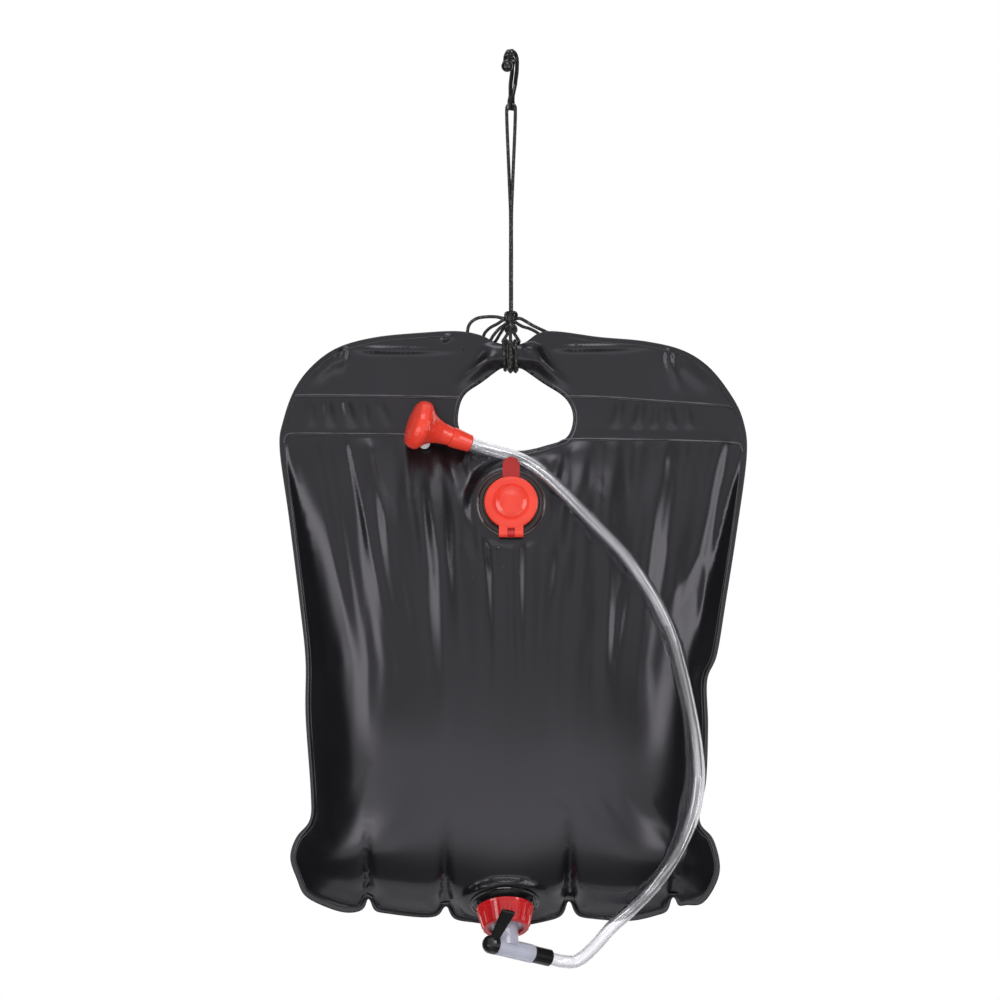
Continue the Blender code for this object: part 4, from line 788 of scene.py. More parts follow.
def swell(spots):
    """Share of the full depth at which the film stands at each spot."""
    # Outside the lobes an upright line leaves the outline high up, so their height is its foot
    foot = np.minimum(edge_span(outline, spots, 0)[0], TOP_Z - 0.9 * BAG_HEIGHT)
    left, right = [np.interp(spots[:, 1], levels, span) for span in smooth_spans]
    up = (spots[:, 1] - foot) / (seam_height(spots[:, 0]) - foot)
    inside_water = (up > 0) & (up < 1) & (right > left)
    half = np.where(right > left, (right - left) / 2, 1.0)
    aside = np.clip(np.abs(spots[:, 0] - (left + right) / 2) / half, 0, 1)
    across = (1 - aside ** (2.2 + 1.0 * ease(-spots[:, 1], 0.45, 0.62))) ** 0.85
    rim = np.clip((edge_gap(outline, spots) - WELD) / RIM_REACH, 0, 1)
    share = across * smooth_table(SWELL_SHARES, np.clip(up, 0, 1)) * np.sqrt(1 - (1 - rim) ** 2)
    return np.where(inside_water, share, 0.0)


# %% Flat places where fittings are welded on
FLANGE_RADIUS = 0.0304


def flatten(spots, y, place, reach, blend, side):
    """Bring the film to the flat foot of a fitting, and ease it back round it."""
    normal = np.array(place.to_3x3() @ Vector((0, 0, 1)))
    base = np.array(place.translation) - normal * FILM
    across = spots[:, 0] - base[0]
    up = spots[:, 1] - base[2]
    flat = base[1] - (across * normal[0] + up * normal[2]) / normal[1]
    away = np.sqrt(across ** 2 + (flat - base[1]) ** 2 + up ** 2)
    share = 1 - ease(away, reach, reach + blend)
    return y * (1 - share) + np.minimum(flat, side * SHEET_GAP) * share, share


def film_y(spots, side):
    """Y of one sheet's inner face at each spot, and how firmly it is held there."""
    depth = (FRONT_DEPTH if side < 0 else BACK_DEPTH) * swell(spots)
    rise = np.clip(np.abs((spots[:, 1] + BAND_DROP) / BAND_HALF_HEIGHT), 0, 1)
    gather = np.exp(-(spots[:, 0] / 0.024) ** 4) * np.sqrt(1 - rise ** 2)
    depth = np.maximum(depth, BAND_GATHER * gather)
    y = side * (SHEET_GAP + depth)
    held = np.zeros(len(spots))
    if side < 0:
        for place in (FILLER, SPOUT):
            y, share = flatten(spots, y, place, FLANGE_RADIUS + 0.0035, 0.009, side)
            held = np.maximum(held, share)
    return y, held


# %% [markdown]
# ## Film mesh
# The film is laid out flat as evenly spaced points in a honeycomb, with rows of points along the
# edge, the weld and the fittings. A constrained Delaunay net joins them, and each point is then
# lifted to its place on the pillow.

# %% Net of one sheet
NET_STEP = 0.0042
ROW_STEP = NET_STEP * 0.866
EDGE_ROWS = (0.0020, 0.0042, 0.0058, 0.0078, 0.0104)
HOLE_MARGIN = 0.003
GRID_MARGIN = 0.0130
FILLER_HOLE = 0.0173
SPOUT_HOLE = 0.0140


def offset_ring(loop, distance):
    """A row of points at a distance inside a closed clockwise loop."""
    along = np.roll(loop, -1, axis=0) - np.roll(loop, 1, axis=0)
    along /= np.linalg.norm(along, axis=1)[:, None]
    return loop + np.stack([along[:, 1], -along[:, 0]], axis=1) * distance


def fitting_ring(place, radius, sides):
    """A circle round a fitting, seen in the bag's plane."""
    ring = []
    for step in range(sides):
        angle = math.tau * step / sides
        point = place @ Vector((radius * math.cos(angle), radius * math.sin(angle), -FILM))
        ring.append((point.x, point.z))
    return np.array(ring)


def on_film(spots, holes, edge=0.0, hole_edge=0.0):
    """Which spots lie on the film, farther from its edge and its holes than the given gaps."""
    clear = within(outline, spots) & (edge_gap(outline, spots) > edge)
    for loop in holes:
        clear &= ~within(loop, spots) & (edge_gap(loop, spots) > hole_edge)
    return clear


def film_net(side):
    """Flat points and triangles of one sheet."""
    holes = [hole]
    if side < 0:
        holes += [fitting_ring(FILLER, FILLER_HOLE, 40), fitting_ring(SPOUT, SPOUT_HOLE, 36)]
    loops = [outline] + holes
    flat = np.concatenate(loops)
    edges = []
    start = 0
    for loop in loops:
        edges += [(start + i, start + (i + 1) % len(loop)) for i in range(len(loop))]
        start += len(loop)
    extra = []
    for distance in EDGE_ROWS:
        ring = offset_ring(outline, distance)
        extra.append(ring[on_film(ring, holes, 0.93 * distance, HOLE_MARGIN)])
    low, high = outline.min(0), outline.max(0)
    rows = int((high[1] - low[1]) / ROW_STEP) + 2
    columns = int((high[0] - low[0]) / NET_STEP) + 2
    grid = np.array([(low[0] + (c + r % 2 / 2) * NET_STEP, low[1] + r * ROW_STEP)
                     for r in range(rows) for c in range(columns)])
    extra.append(grid[on_film(grid, holes, GRID_MARGIN, 0.6 * NET_STEP)])
    flat = np.concatenate([flat] + extra)
    verts, _, faces = delaunay_2d_cdt([Vector(p) for p in flat.tolist()], edges, [], 0, 1e-5)[:3]
    spots = np.array([(v.x, v.y) for v in verts])
    faces = np.array([face for face in faces if len(face) == 3])
    faces = faces[on_film(spots[faces].mean(1), holes)]
    used = np.unique(faces)
    again = np.full(len(spots), -1)
    again[used] = np.arange(len(used))
    faces = again[faces]
    return spots[used], faces if side < 0 else faces[:, ::-1]


front_spots, front_faces = film_net(-1)
back_spots, back_faces = film_net(1)
print("front net", len(front_spots), "points,", len(front_faces), "triangles; back", len(back_spots))

# %% [markdown]
# ## Film finish
# The film is smooth black vinyl with a satin shine. Faint lines from the rollers run across it, and
# slow noise varies its tone and how sharply it reflects.

# %% Black film
FILM_FINISH, film_tree, film_shader = plain_finish(
    "black_film", Specular_IOR_Level=0.58, Specular_Tint=(0.95, 0.915, 1.0, 1.0))
film_place = (add_node(film_tree, "TexCoord"), "Object")
film_slow = (add_node(film_tree, "TexNoise", {"Vector": film_place}, Scale=14.0, Detail=4.0), "Fac")
film_tones = add_tones(film_tree, film_slow, (0.35, 0.7),
                       ((0.0048, 0.0045, 0.0058), (0.0080, 0.0075, 0.0092)))
film_rough = add_node(film_tree, "MapRange", {"Value": film_slow}, To_Min=0.20, To_Max=0.28)
film_map = add_node(film_tree, "Mapping", {"Vector": film_place}, Scale=(6.0, 6.0, 900.0))
film_lines = add_node(film_tree, "TexNoise", {"Vector": (film_map, "Vector")}, Scale=1.0, Detail=2.0)
film_relief = add_node(film_tree, "Bump", {"Height": (film_lines, "Fac")},
                       Strength=0.12, Distance=0.0002)
feed(film_tree, film_shader, Base_Color=(film_tones, "Color"), Roughness=(film_rough, "Result"),
     Normal=(film_relief, "Normal"))
print("film finish made")

# %% [markdown]
# ## Broad forms of the bag
# A filled bag isn't one smooth pillow. From each top corner a shoulder crease runs down and inwards,
# because the film is pulled there by its corner. At the bottom two lobes stand out beside deep
# tucks, and every notch in the edge starts a crease. Each form is a line of given points with
# a width and a height; a point of the film takes the height of the nearest place on the line.

# %% Lift along a line
def lift_along(spots, line, width, height, ends=(0.35, 0.6), inner=None):
    """Lift of each spot near a line of (x, z) points in mm, with a width and height for each end.

    ends holds the shares of the line over which the lift starts and fades. inner is a second pair
    of widths for the side that faces the middle of the bag.
    """
    points = np.array(line) / 1000
    wide = np.broadcast_to(np.array(width, float) / 1000, 2)
    tall = np.broadcast_to(np.array(height, float) / 1000, 2)
    steps = np.linalg.norm(np.diff(points, axis=0), axis=1)
    along = np.concatenate([[0.0], np.cumsum(steps)])
    least = np.full(len(spots), 9.0)
    place = np.zeros(len(spots))
    for index, (near, far) in enumerate(zip(points, points[1:])):
        span = far - near
        part = np.clip(((spots - near) @ span) / (span @ span), 0, 1)
        gap = np.linalg.norm(near + part[:, None] * span - spots, axis=1)
        closer = gap < least
        least = np.where(closer, gap, least)
        place = np.where(closer, (along[index] + part * steps[index]) / along[-1], place)
    reach = wide[0] + (wide[1] - wide[0]) * place
    if inner:
        line_x = np.interp(-spots[:, 1], -points[:, 1], points[:, 0])
        inward = np.abs(spots[:, 0]) < np.abs(line_x)
        broad = (inner[0] + (inner[1] - inner[0]) * place) / 1000
        reach = np.where(inward, broad, reach)
    rise = tall[0] + (tall[1] - tall[0]) * place
    fade = ease(place, 0, ends[0]) * ease(1 - place, 0, ends[1])
    return rise * fade * np.exp(-(least / reach) ** 2)


# %% Shoulders, lobes and tucks
SHOULDERS = (
    ((-197, -345), (-190, -372), (-184, -400), (-174, -440), (-164, -480), (-153, -530),
     (-143, -580), (-136, -630), (-133, -690)),
    ((199, -350), (193, -378), (186, -410), (176, -446), (166, -480), (155, -525),
     (146, -575), (140, -630), (136, -690)),
)
BROAD_FORMS = (
    (((-181, -668), (-168, -682), (-152, -686)), (5, 6), (-3.5, -2.0)),
    (((174, -668), (160, -684), (146, -688)), (5, 6), (-3.5, -2.0)),
    (((-178, -714), (-156, -736)), (17, 20), (1.0, 1.4)),
    (((178, -714), (158, -736)), (17, 20), (1.0, 1.4)),
    (((-122, -772), (-121, -745), (-118, -728)), (5, 8), (-5.0, -1.5)),
    (((-46, -765), (-44, -748), (-40, -735)), (4, 6), (-3.5, -1.0)),
    (((50, -765), (47, -745), (44, -728)), (5, 7), (-5.0, -1.5)),
    (((143, -765), (141, -744), (138, -726)), (5, 8), (-5.0, -1.5)),
    (((-185, -540), (-176, -548), (-166, -556)), (5, 7), (-3.0, -1.0)),
    (((174, -541), (164, -550), (156, -562)), (5, 7), (-3.0, -1.0)),
    (((-180, -610), (-170, -614)), (6, 8), (2.0, 1.0)),
    (((172, -600), (162, -606)), (6, 8), (2.0, 1.0)),
)


def broad_lift(spots):
    """Height of the shoulders, lobes and tucks, nothing at the weld and above the seam."""
    lift = np.zeros(len(spots))
    for line in SHOULDERS:
        lift += lift_along(spots, line, (6, 16), (3.0, 6.2), (0.16, 0.45), (24, 52))
    for line, width, height in BROAD_FORMS:
        lift += lift_along(spots, line, width, height, (0.12, 0.3))
    inside = ease(edge_gap(outline, spots), WELD, WELD + 0.008)
    below = ease(seam_height(spots[:, 0]) - spots[:, 1], 0.001, 0.012)
    return lift * inside * below


# %% [markdown]
# ## Letting the film settle
# Blender's cloth gives what the given forms can't: the small buckles of a film that is a little
# too wide for the form it lies on. Each sheet is cut 2% wider than it lies, held at its welds and
# under the fittings, and pushed out gently by the water. A cap keeps every point near its start.

# %% Cloth
SETTLE_FRAMES = 24
MOST_SHIFT = 0.006


def settle(name, points, faces, held, extra_width, push):
    """Points of a sheet after it has settled, with held points kept in place."""
    mesh = bpy.data.meshes.new(name)
    mesh.from_pydata(points.tolist(), [], faces.tolist())
    cloth_piece = add_object(name, mesh)
    cloth_piece.shape_key_add(name="lies", from_mix=False)
    cut = cloth_piece.shape_key_add(name="cut", from_mix=False)
    wide = points * np.array([1 + extra_width, 1.0, 1.0])
    cut.data.foreach_set("co", wide.ravel())
    group = cloth_piece.vertex_groups.new(name="held")
    for index in np.nonzero(held > 0.02)[0].tolist():
        group.add([index], float(held[index]), "REPLACE")
    cloth = cloth_piece.modifiers.new("cloth", "CLOTH")
    cloth.settings.quality = 5
    cloth.settings.mass = 0.15
    cloth.settings.tension_stiffness = 20
    cloth.settings.compression_stiffness = 20
    cloth.settings.shear_stiffness = 8
    cloth.settings.bending_stiffness = 0.6
    cloth.settings.air_damping = 3
    cloth.settings.vertex_group_mass = "held"
    cloth.settings.rest_shape_key = cut
    cloth.settings.use_pressure = True
    cloth.settings.uniform_pressure_force = push
    cloth.settings.effector_weights.gravity = 0
    cloth.point_cache.frame_start = 1
    cloth.point_cache.frame_end = SETTLE_FRAMES
    for number in range(1, SETTLE_FRAMES + 1):
        bpy.context.scene.frame_set(number)
    done = cloth_piece.evaluated_get(bpy.context.evaluated_depsgraph_get())
    moved = np.empty(len(points) * 3)
    done.data.vertices.foreach_get("co", moved)
    bpy.data.objects.remove(cloth_piece)
    bpy.context.scene.frame_set(1)
    return moved.reshape(-1, 3)


def capped(points, moved, most):
    """Each point's move, shortened to the most that it may go."""
    step = moved - points
    size = np.linalg.norm(step, axis=1)
    short = np.minimum(1, most * np.tanh(size / most) / np.maximum(size, 1e-9))
    return points + step * short[:, None]


# %% [markdown]
# ## Fine folds
# Over the settled form lie the folds that the photograph shows one by one: vertical streaks that
# hang from the seam, a fan of creases under the handle hole, a creased band along the top, and the
# gathers that run to the cord. They are drawn the same way as the broad forms, only finer.

# %% Folds of the front
FRONT_FOLDS = (
    # Folds that hang from the seam on the left
    (((-125, -347), (-122, -375), (-119, -400)), (5, 6), (1.2, 0.6)),
    (((-112, -366), (-109, -412), (-104, -460), (-92, -506)), (5, 8), (1.6, 1.8)),
    (((-100, -392), (-94, -450), (-82, -508), (-74, -545)), (5, 7), (1.7, 1.2)),
    (((-88, -382), (-80, -448), (-72, -492)), (4, 6), (1.8, 1.2)),
    (((-74, -360), (-68, -414), (-62, -462)), (4, 6), (1.7, 1.0)),
    (((-62, -352), (-54, -374), (-47, -394), (-42, -414)), (3.5, 4.5), (1.9, 1.2)),
    (((-46, -352), (-40, -372), (-36, -392)), (3, 4), (1.2, 0.9)),
    (((-45, -420), (-34, -452), (-25, -480)), (4, 8), (1.2, 0.8)),
    (((-24, -438), (-16, -465), (-12, -492)), (4, 8), (1.0, 0.6)),
    # Creases that fan out from the handle hole
    (((-38, -350), (-46, -362), (-50, -378)), (3, 4), (1.5, 0.6)),
    (((41, -348), (34, -364), (28, -376)), (3, 4), (1.6, 0.8)),
    (((50, -346), (44, -372), (37, -404), (30, -440)), (3.5, 4.5), (1.8, 1.0)),
    (((61, -345), (58, -380), (50, -425), (43, -470)), (4, 6), (1.8, 1.2)),
    (((70, -346), (68, -372), (64, -398)), (3.5, 4.5), (-1.2, -0.6)),
    # Folds that hang from the seam on the right
    (((84, -345), (83, -380), (80, -430), (73, -480)), (6, 8), (1.8, 1.4)),
    (((103, -346), (104, -395), (99, -452)), (5, 6), (-1.8, -1.2)),
    (((121, -348), (120, -410), (115, -470), (104, -520)), (6, 9), (1.9, 1.6)),
    (((138, -350), (142, -368), (144, -382)), (4, 5), (-1.1, -0.5)),
    (((160, -352), (164, -370), (160, -384)), (4, 5), (-1.0, -0.4)),
    # Folds below the hose
    (((46, -420), (42, -466), (36, -505)), (5, 8), (1.6, 1.3)),
    (((58, -424), (56, -460), (50, -492)), (3.5, 4), (-1.4, -0.8)),
    (((86, -430), (83, -486), (81, -525), (82, -556)), (3.5, 4.5), (1.5, 1.3)),
    (((92, -470), (89, -524), (88, -560)), (3, 4), (-1.0, -1.0)),
    (((70, -470), (66, -500), (66, -530)), (4, 5), (1.0, 0.8)),
    (((179, -452), (171, -505), (166, -548)), (3, 4), (1.4, 1.6)),
    (((-190, -400), (-182, -470), (-176, -530)), (2.5, 4), (1.0, 1.2)),
)
HEADER_FOLDS = (
    # Creased band along the top, broken at the gathers
    (((-146, -258.5), (-110, -259.5), (-60, -260), (-30, -259)), (3.0, 2.6), (1.4, 1.1)),
    (((28, -258), (70, -257.5), (110, -257), (138, -256.5)), (2.6, 3.0), (1.1, 1.4)),
    # Corner creases
    (((-146, -254), (-148, -266), (-154, -284)), (3, 5), (2.6, 0.8)),
    (((-148, -262), (-166, -278), (-180, -294)), (4, 7), (1.8, 0.9)),
    (((138, -254), (139, -270), (146, -290), (154, -302)), (3, 6), (2.4, 0.8)),
    (((144, -266), (166, -286), (184, -300)), (6, 9), (1.4, 0.9)),
    # Gathers that run to the cord
    (((-8, -262), (-22, -270), (-40, -285), (-52, -297)), (4.5, 6), (3.2, 1.8)),
    (((8, -254), (22, -261), (32, -273), (37, -286)), (4, 5), (2.6, 1.6)),
    (((9, -263), (24, -271), (42, -285), (58, -297)), (4.5, 6), (3.0, 1.8)),
    (((-62, -252), (-54, -247), (-48, -245)), (2.5, 3), (1.3, 1.0)),
    # Short folds between the two welds
    (((-177, -303), (-174, -333)), (3.5, 4.5), (0.7, 0.5)),
    (((-163, -301), (-157, -334)), (4, 5), (1.1, 0.8)),
    (((-147, -300), (-137, -334)), (3, 6), (1.3, 0.9)),
    (((-131, -301), (-125, -333)), (3.5, 3), (0.6, 0.9)),
    (((-118, -301), (-104, -333)), (3, 5), (0.8, 0.4)),
    (((-86, -303), (-80, -333)), (4, 5), (0.4, 0.5)),
    (((97, -302), (89, -338)), (4, 5), (1.0, 0.7)),
    (((116, -303), (108, -339)), (3, 5), (1.2, 0.8)),
    (((129, -305), (124, -339)), (3.5, 3), (0.5, 0.9)),
    (((137, -305), (145, -340)), (3, 5), (1.1, 0.8)),
    (((153, -306), (160, -341)), (3, 5), (0.7, 0.5)),
)
BACK_FOLDS = (
    (((-150, -352), (-132, -420), (-112, -500)), (7, 12), (2.2, 1.2)),
    (((-95, -350), (-86, -410), (-78, -470)), (5, 8), (1.7, 1.0)),
    (((-52, -352), (-50, -400), (-46, -448)), (4, 7), (1.6, 0.8)),
    (((-12, -360), (-8, -410), (-10, -470)), (5, 9), (1.6, 0.9)),
    (((34, -354), (30, -400), (22, -450)), (4, 7), (1.6, 0.8)),
    (((70, -350), (66, -420), (60, -480)), (5, 9), (1.8, 1.1)),
    (((112, -350), (104, -430), (96, -500)), (6, 10), (2.0, 1.2)),
    (((150, -352), (138, -420), (122, -490)), (7, 12), (2.0, 1.2)),
)
STREAK_REACH = 0.27
STREAK_HEIGHT = 0.0023
FOLD_SHARE = 0.7
HEADER_SHARE = 1.4


def streak_lift(spots):
    """Long faint folds that fan down from the seam, from noise stretched along the fan."""
    below = seam_height(spots[:, 0]) - spots[:, 1]
    fan = spots[:, 0] / (1 - 1.1 * np.clip(below, 0, 0.2))
    lift = np.zeros(len(spots))
    for index in np.nonzero((below > 0) & (below < STREAK_REACH))[0]:
        broad = noise.noise(Vector((fan[index] * 62, below[index] * 5, 1.7)))
        thin = 1 - 5 * abs(noise.noise(Vector((fan[index] * 34, below[index] * 4, 8.3))))
        lift[index] = 1.3 * broad + 0.5 * max(thin, 0)
    return lift * STREAK_HEIGHT * ease(below, 0, 0.014) * ease(STREAK_REACH - below, 0, 0.20)


def fine_lift(spots, folds, header):
    """Height of the fine folds; header folds are kept to the welded top."""
    water = streak_lift(spots)
    for line, width, height in folds:
        water += FOLD_SHARE * lift_along(spots, line, width, height)
    top = np.zeros(len(spots))
    for line, width, height in header:
        top += HEADER_SHARE * lift_along(spots, line, width, height, (0.25, 0.6))
    gap = np.minimum(edge_gap(outline, spots), edge_gap(hole, spots))
    below = seam_height(spots[:, 0]) - spots[:, 1]
    seam = SEAM_SIDE + 0.0012 - spots[:, 1]
    water *= ease(below, 0.0, 0.006) * ease(gap, WELD, WELD + 0.006)
    top = np.maximum(top, 0) * ease(-seam, 0.001, 0.007) * ease(gap, 0.0005, 0.004)
    return water + top


# %% Build a sheet
NEAR_PIECES = ("head_bell", "head_sleeve", "head_clip", "filler_lid")
NEAR = 0.004
SEARCH = 0.01
CLEARANCE = 0.0012


def search_tree(piece):
    """Search tree of a piece as it is shown."""
    data = piece.evaluated_get(bpy.context.evaluated_depsgraph_get()).data
    return BVHTree.FromPolygons([piece.matrix_world @ vertex.co for vertex in data.vertices],
                                [tuple(face.vertices) for face in data.polygons])


obstacles = []
for piece in [hose_tube] + [frame["nodes"][name] for name in NEAR_PIECES]:
    corners = np.array([piece.matrix_world @ Vector(corner) for corner in piece.bound_box])
    obstacles.append((search_tree(piece), corners.min(0) - NEAR, corners.max(0) + NEAR))


def keep_clear(points, side, gap):
    """Push points of the film back where they come too near to a hard piece or the hose."""
    for tree, low, high in obstacles:
        for index in np.nonzero(((points > low) & (points < high)).all(1))[0]:
            near, _, _, away = tree.find_nearest(Vector(points[index]), SEARCH)
            if near is not None and away < gap:
                points[index, 1] -= side * (gap - away)
    return points


def film_piece(name, node, spots, faces, side, folds, header):
    """A sheet of film with its real thickness, shown in place of its plain solid."""
    y, pads = film_y(spots, side)
    y = y + side * broad_lift(spots) * (1 - pads)
    y = side * np.maximum(side * y, SHEET_GAP)
    points = np.stack([spots[:, 0], y, spots[:, 1]], axis=1)
    gap = np.minimum(edge_gap(outline, spots), edge_gap(hole, spots))
    held = np.maximum(1 - ease(gap, WELD + 0.001, WELD + 0.005), ease(pads, 0.2, 0.9))
    held = np.maximum(held, 1 - ease(seam_height(spots[:, 0]) - spots[:, 1], 0.0, 0.006))
    moved = settle(name + "_cloth", points, faces, held, extra_width=0.02, push=0.6)
    settled = capped(points, moved, MOST_SHIFT)
    shift = np.linalg.norm(settled - points, axis=1) * 1000
    points = settled
    print(name, "settled: most", round(shift.max(), 2), "mm, mean", round(shift.mean(), 2), "mm")
    mesh = bpy.data.meshes.new(name)
    mesh.from_pydata(points.tolist(), [], faces.tolist())
    coarse = add_object(name, mesh)
    finer = coarse.modifiers.new("finer", "SUBSURF")
    finer.levels = finer.render_levels = 1
    done = coarse.evaluated_get(bpy.context.evaluated_depsgraph_get())
    mesh = bpy.data.meshes.new_from_object(done)
    bpy.data.objects.remove(coarse)
    points = np.empty(len(mesh.vertices) * 3)
    mesh.vertices.foreach_get("co", points)
    points = points.reshape(-1, 3)
    flat = points[:, [0, 2]]
    pads = film_y(flat, side)[1]
    points[:, 1] += side * fine_lift(flat, folds, header) * (1 - pads)
    points[:, 1] = side * np.maximum(side * points[:, 1], SHEET_GAP)
    if side < 0:
        points = keep_clear(points, side, CLEARANCE)
    mesh.vertices.foreach_set("co", points.ravel())
    mesh.shade_smooth()
    mesh.materials.append(FILM_FINISH)
    piece = add_object(name, mesh)
    skin = piece.modifiers.new("thickness", "SOLIDIFY")
    skin.thickness = FILM
    skin.offset = 1.0
    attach(piece, "bag")
    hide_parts(node)
    return piece


front_film = film_piece("front_film", "front_sheet", front_spots, front_faces, -1,
                        FRONT_FOLDS, HEADER_FOLDS)
back_film = film_piece("back_film", "back_sheet", back_spots, back_faces, 1, BACK_FOLDS, ())

# %% [markdown]
# ## Weld lines
# Heat welding leaves a low bead beside each weld: one line round the edge, one round the handle
# hole, and two across the header, each with a dark groove under it. Each bead is a narrow ribbon
# with a raised middle that is dropped onto the finished film, so that it follows every fold. The
# beads are painted grey, paler than the black film, as a painted highlight along each weld; the
# rim's bead is painted a darker grey.

# %% Beads on the film
def drop_on(tree, x, z, side):
    """Point and normal of the film's outside at a place in the bag's plane."""
    hit, normal, _, _ = tree.ray_cast(Vector((x, side * 0.2, z)), Vector((0, -side, 0)))
    if hit is None:
        return None, None
    return hit, normal if normal.y * side > 0 else -normal


BEAD_SHAPE = (
    (-1.0, -0.35), (-0.62, 0.12), (-0.3, 0.8), (0.0, 1.0), (0.3, 0.8), (0.62, 0.12), (1.0, -0.35),
)
BEAD_HALF_WIDTH = 0.0008
# Grey beads on black film: a painted highlight along the welds, weaker on the rim
WELD_HIGHLIGHT_PAINT = moulded("weld_painted_highlight", (0.17, 0.165, 0.18), (0.07, 0.068, 0.075), 0.28, 400.0, 0.05)
RIM_HIGHLIGHT_PAINT = moulded("rim_weld_painted_highlight", (0.050, 0.048, 0.053), (0.020, 0.019, 0.022), 0.28, 400.0, 0.05)


def bead(name, tree, line, height, side, finish=WELD_HIGHLIGHT_PAINT):
    """A welded bead along an open line in the bag's plane."""
    bm = bmesh.new()
    rows = []
    for index, spot in enumerate(line):
        near = line[max(index - 1, 0)]
        far = line[min(index + 1, len(line) - 1)]
        along = Vector((far[0] - near[0], 0, far[1] - near[1])).normalized()
        point, normal = drop_on(tree, spot[0], spot[1], side)
        if point is None:
            rows.append(None)
            continue
        across = along.cross(Vector((0, side, 0))).normalized()
        row = []
        for place, rise in BEAD_SHAPE:
            reach = across * place * BEAD_HALF_WIDTH
            at = drop_on(tree, point.x + reach.x, point.z + reach.z, side)[0]
            at = at if at is not None and abs(at.y - point.y) < 0.004 else point + reach
            row.append(bm.verts.new(at + Vector((0, side, 0)) * height * rise))
        rows.append(row)
    for near, far in zip(rows, rows[1:]):
        if near is not None and far is not None:
            bridge(bm, near, far, closed=False)
    return link_mesh(name, bm, finish, "bag")


def plane_line(points, step=0.002):
    """Even points of a smooth line given in mm."""
    given = [Vector((x / 1000, z / 1000, 0)) for x, z in points]
    return [(p.x, p.y) for p in evenly(through(given, 8), step)]


WELD_LINES = {
    "upper_left": ((-189.5, -300.5), (-183, -299), (-120, -299.5), (-60, -300.5), (-46, -300.8)),
    "upper_right": ((48, -300), (80, -300.5), (123, -303.5), (186, -308), (194, -310.5)),
    "lower_left": (
        (-200, -341), (-198, -335.5), (-191, -332.8), (-150, -333), (-92, -333.6), (-52, -335),
        (-43, -337),
    ),
    "lower_right": (
        (40, -342), (53, -337.8), (100, -338), (151, -339), (196, -341), (202, -344), (204, -349),
    ),
}
GROOVE_DROP = 0.0017
front_tree = search_tree(front_film)
back_tree = search_tree(back_film)
# The rim's line starts and ends away from the gathers
rim_line = [tuple(p) for p in offset_ring(outline, 0.0046).tolist()]
away, back_again = [next(i for i, (x, z) in enumerate(rim_line) if x > near and z > TOP_Z - 0.05)
                    for near in (0.05, -0.05)]
rim_line = rim_line[away:] + rim_line[:back_again]
hole_line = [tuple(p) for p in offset_ring(hole, 0.0032).tolist() if p[1] < HOLE_TOP - 0.014]
for side, tree, word in ((-1, front_tree, "front"), (1, back_tree, "back")):
    bead(word + "_rim_weld", tree, rim_line, 0.0006, side, RIM_HIGHLIGHT_PAINT)
    bead(word + "_hole_weld", tree, hole_line, 0.0008, side)
    for name, line in WELD_LINES.items():
        bright = plane_line(line)
        dark = [(x, z - GROOVE_DROP) for x, z in bright]
        bead(word + "_weld_" + name, tree, bright, 0.0010, side)
        bead(word + "_groove_" + name, tree, dark, 0.0003, side, FILM_FINISH)
print("weld lines on both sheets")

# %% [markdown]
# A few drops of water cling to the front. Each is a small flat dome that is dropped onto the film.

# %% Drops of water
# Places in the photograph's pixels, across and down, and the radius in mm
DROPS = (
    (498, 547, 1.5), (504, 566, 1.7), (599, 477, 1.2), (641, 498, 0.9), (686, 499, 0.8), (665, 745, 1.0),
    (460, 820, 1.0), (463, 350, 0.8), (654, 390, 0.9), (641, 371, 0.8), (590, 560, 0.8), (688, 507, 0.7),
    (452, 568, 0.8), (474, 577, 0.9), (519, 572, 0.7),
)
PIXEL = 0.00088
bm = bmesh.new()
for across_px, down_px, radius in DROPS:
    spot, normal = drop_on(front_tree, (across_px - 511) * PIXEL, (55 - down_px) * PIXEL, -1)
    turned_to = normal.to_track_quat("Z", "Y").to_matrix().to_4x4()
    flat = Matrix.Diagonal((radius / 1000, radius / 1000, radius / 2200, 1))
    bmesh.ops.create_uvsphere(bm, u_segments=14, v_segments=8, radius=1.0,
                              matrix=Matrix.Translation(spot) @ turned_to @ flat)
WATER = plain_finish("water_drop", Roughness=0.02, IOR=1.33, Transmission_Weight=1.0)[0]
link_mesh("water_drops", bm, WATER, "bag")
print(len(DROPS), "drops")

# %% [markdown]
# ## Studio
# A pale floor far below, a white world for the eye and for clear plastic, and a grey one for
# everything else. Black film shows only what it reflects, so the lights are large soft boxes on
# both sides, overhead and low in front, each leaving a broad soft stripe. Mirror-like rays see the
# white backdrop behind, a bright ceiling in front and dark side walls.

# %% World and floor
world = bpy.data.worlds.new("studio")
bpy.context.scene.world = world
world.use_nodes = True
studio = world.node_tree


def joined(kind, *sources):
    """A new node whose first inputs are fed by (node, output) pairs."""
    made = add_node(studio, kind)
    for socket, (node, output) in zip(made.inputs, sources):
        studio.links.new(node.outputs[output], socket)
    return made


def worked_out(operation, *sources):
    """The result of a math node."""
    made = joined("Math", *sources)
    made.operation = operation
    return made, "Value"


def smooth_step(source, low, high, start=0.0, end=1.0):
    """A smooth step from start to end as a value goes from low to high."""
    made = add_node(studio, "MapRange", {"Value": source},
                    From_Min=low, From_Max=high, To_Min=start, To_Max=end)
    made.interpolation_type = "SMOOTHSTEP"
    return made, "Result"


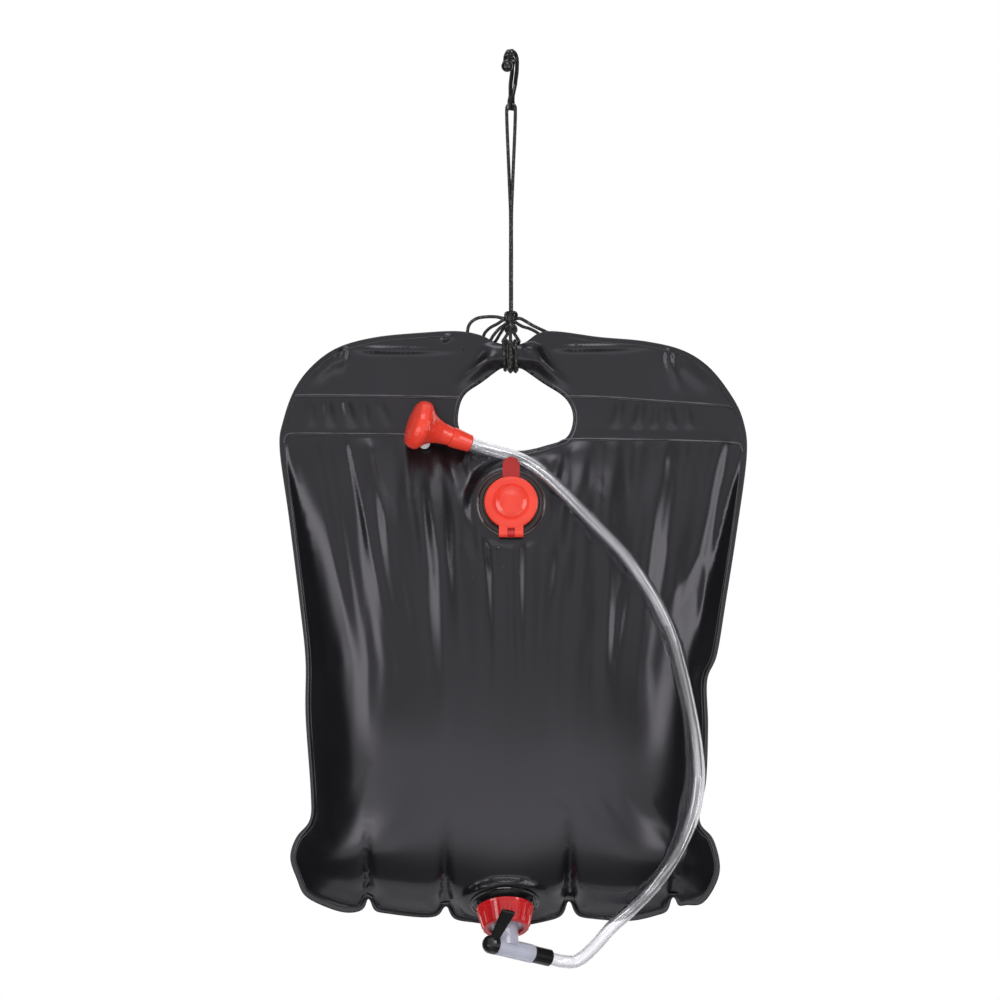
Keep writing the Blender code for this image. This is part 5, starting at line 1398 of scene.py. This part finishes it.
room = studio.nodes["Background"]
tune(room, Color=(0.50, 0.50, 0.51, 1.0), Strength=1.0)
backdrop = add_node(studio, "Background", Color=(1.0, 1.0, 1.0, 1.0))
dim = add_node(studio, "Background", Color=(0.03, 0.03, 0.03, 1.0))
seen = add_node(studio, "LightPath")
glossy = (seen, "Is Glossy Ray")
heading = add_node(studio, "SeparateXYZ", {"Vector": (add_node(studio, "TexCoord"), "Generated")})
walls = smooth_step(worked_out("ABSOLUTE", (heading, "X")), 0.10, 0.85, 1.0, 0.04)
ceiling = smooth_step((heading, "Z"), -0.80, 0.05, 0.26, 0.78)
behind = smooth_step((heading, "Y"), 0.55, 0.85)
around = worked_out("MAXIMUM", worked_out("MULTIPLY", walls, ceiling), behind)
direct = worked_out("MAXIMUM", (seen, "Is Camera Ray"), (seen, "Is Transmission Ray"))
white = worked_out("MAXIMUM", direct, worked_out("MULTIPLY", glossy, around))
fill = joined("MixShader", glossy, (room, "Background"), (dim, "Background"))
lit = joined("MixShader", white, (fill, "Shader"), (backdrop, "Background"))
feed(studio, studio.nodes["World Output"], Surface=(lit, "Shader"))

FLOOR_FINISH = plain_finish("pale_floor", Base_Color=(0.86, 0.86, 0.86, 1.0), Roughness=0.9)[0]
bm = bmesh.new()
bmesh.ops.create_circle(bm, cap_ends=True, segments=64, radius=1.1)
floor_mesh = bpy.data.meshes.new("floor")
bm.to_mesh(floor_mesh)
bm.free()
floor_mesh.materials.append(FLOOR_FINISH)
floor = add_object("floor", floor_mesh)
floor.location = (0, 1.0, -1.5)
print("studio and floor made")


# %% Soft boxes
def soft_box(name, place, aim, wide, high, power):
    """A rectangular lamp that faces a point, with its power in watts."""
    data = bpy.data.lights.new(name, "AREA")
    data.shape = "RECTANGLE"
    data.size = wide
    data.size_y = high
    data.energy = power
    lamp = add_object(name, data)
    lamp.location = place
    lamp.rotation_euler = (Vector(aim) - Vector(place)).to_track_quat("-Z", "Y").to_euler()


soft_box("left_box", (-1.35, -1.35, -0.14), (0, 0, -0.14), 0.55, 1.2, 7.5)
soft_box("right_box", (1.45, -1.2, -0.14), (0, 0, -0.14), 0.45, 1.2, 6.5)
soft_box("low_left_box", (-1.3, -1.4, -1.0), (0, 0, -0.6), 1.1, 0.6, 2.1)
soft_box("low_right_box", (1.3, -1.4, -1.0), (0, 0, -0.6), 1.1, 0.6, 1.5)
# Three low boxes over one another, so that their light fades out upwards and downwards
for high, power in ((0.25, 1.6), (0.5, 3.0), (0.8, 3.6)):
    soft_box("low_box", (0.0, -2.3, -0.96), (0, 0, -0.6), 2.4, high, power)
soft_box("top_box", (0.0, -0.9, 0.9), (0, 0, -0.4), 1.0, 0.4, 5)
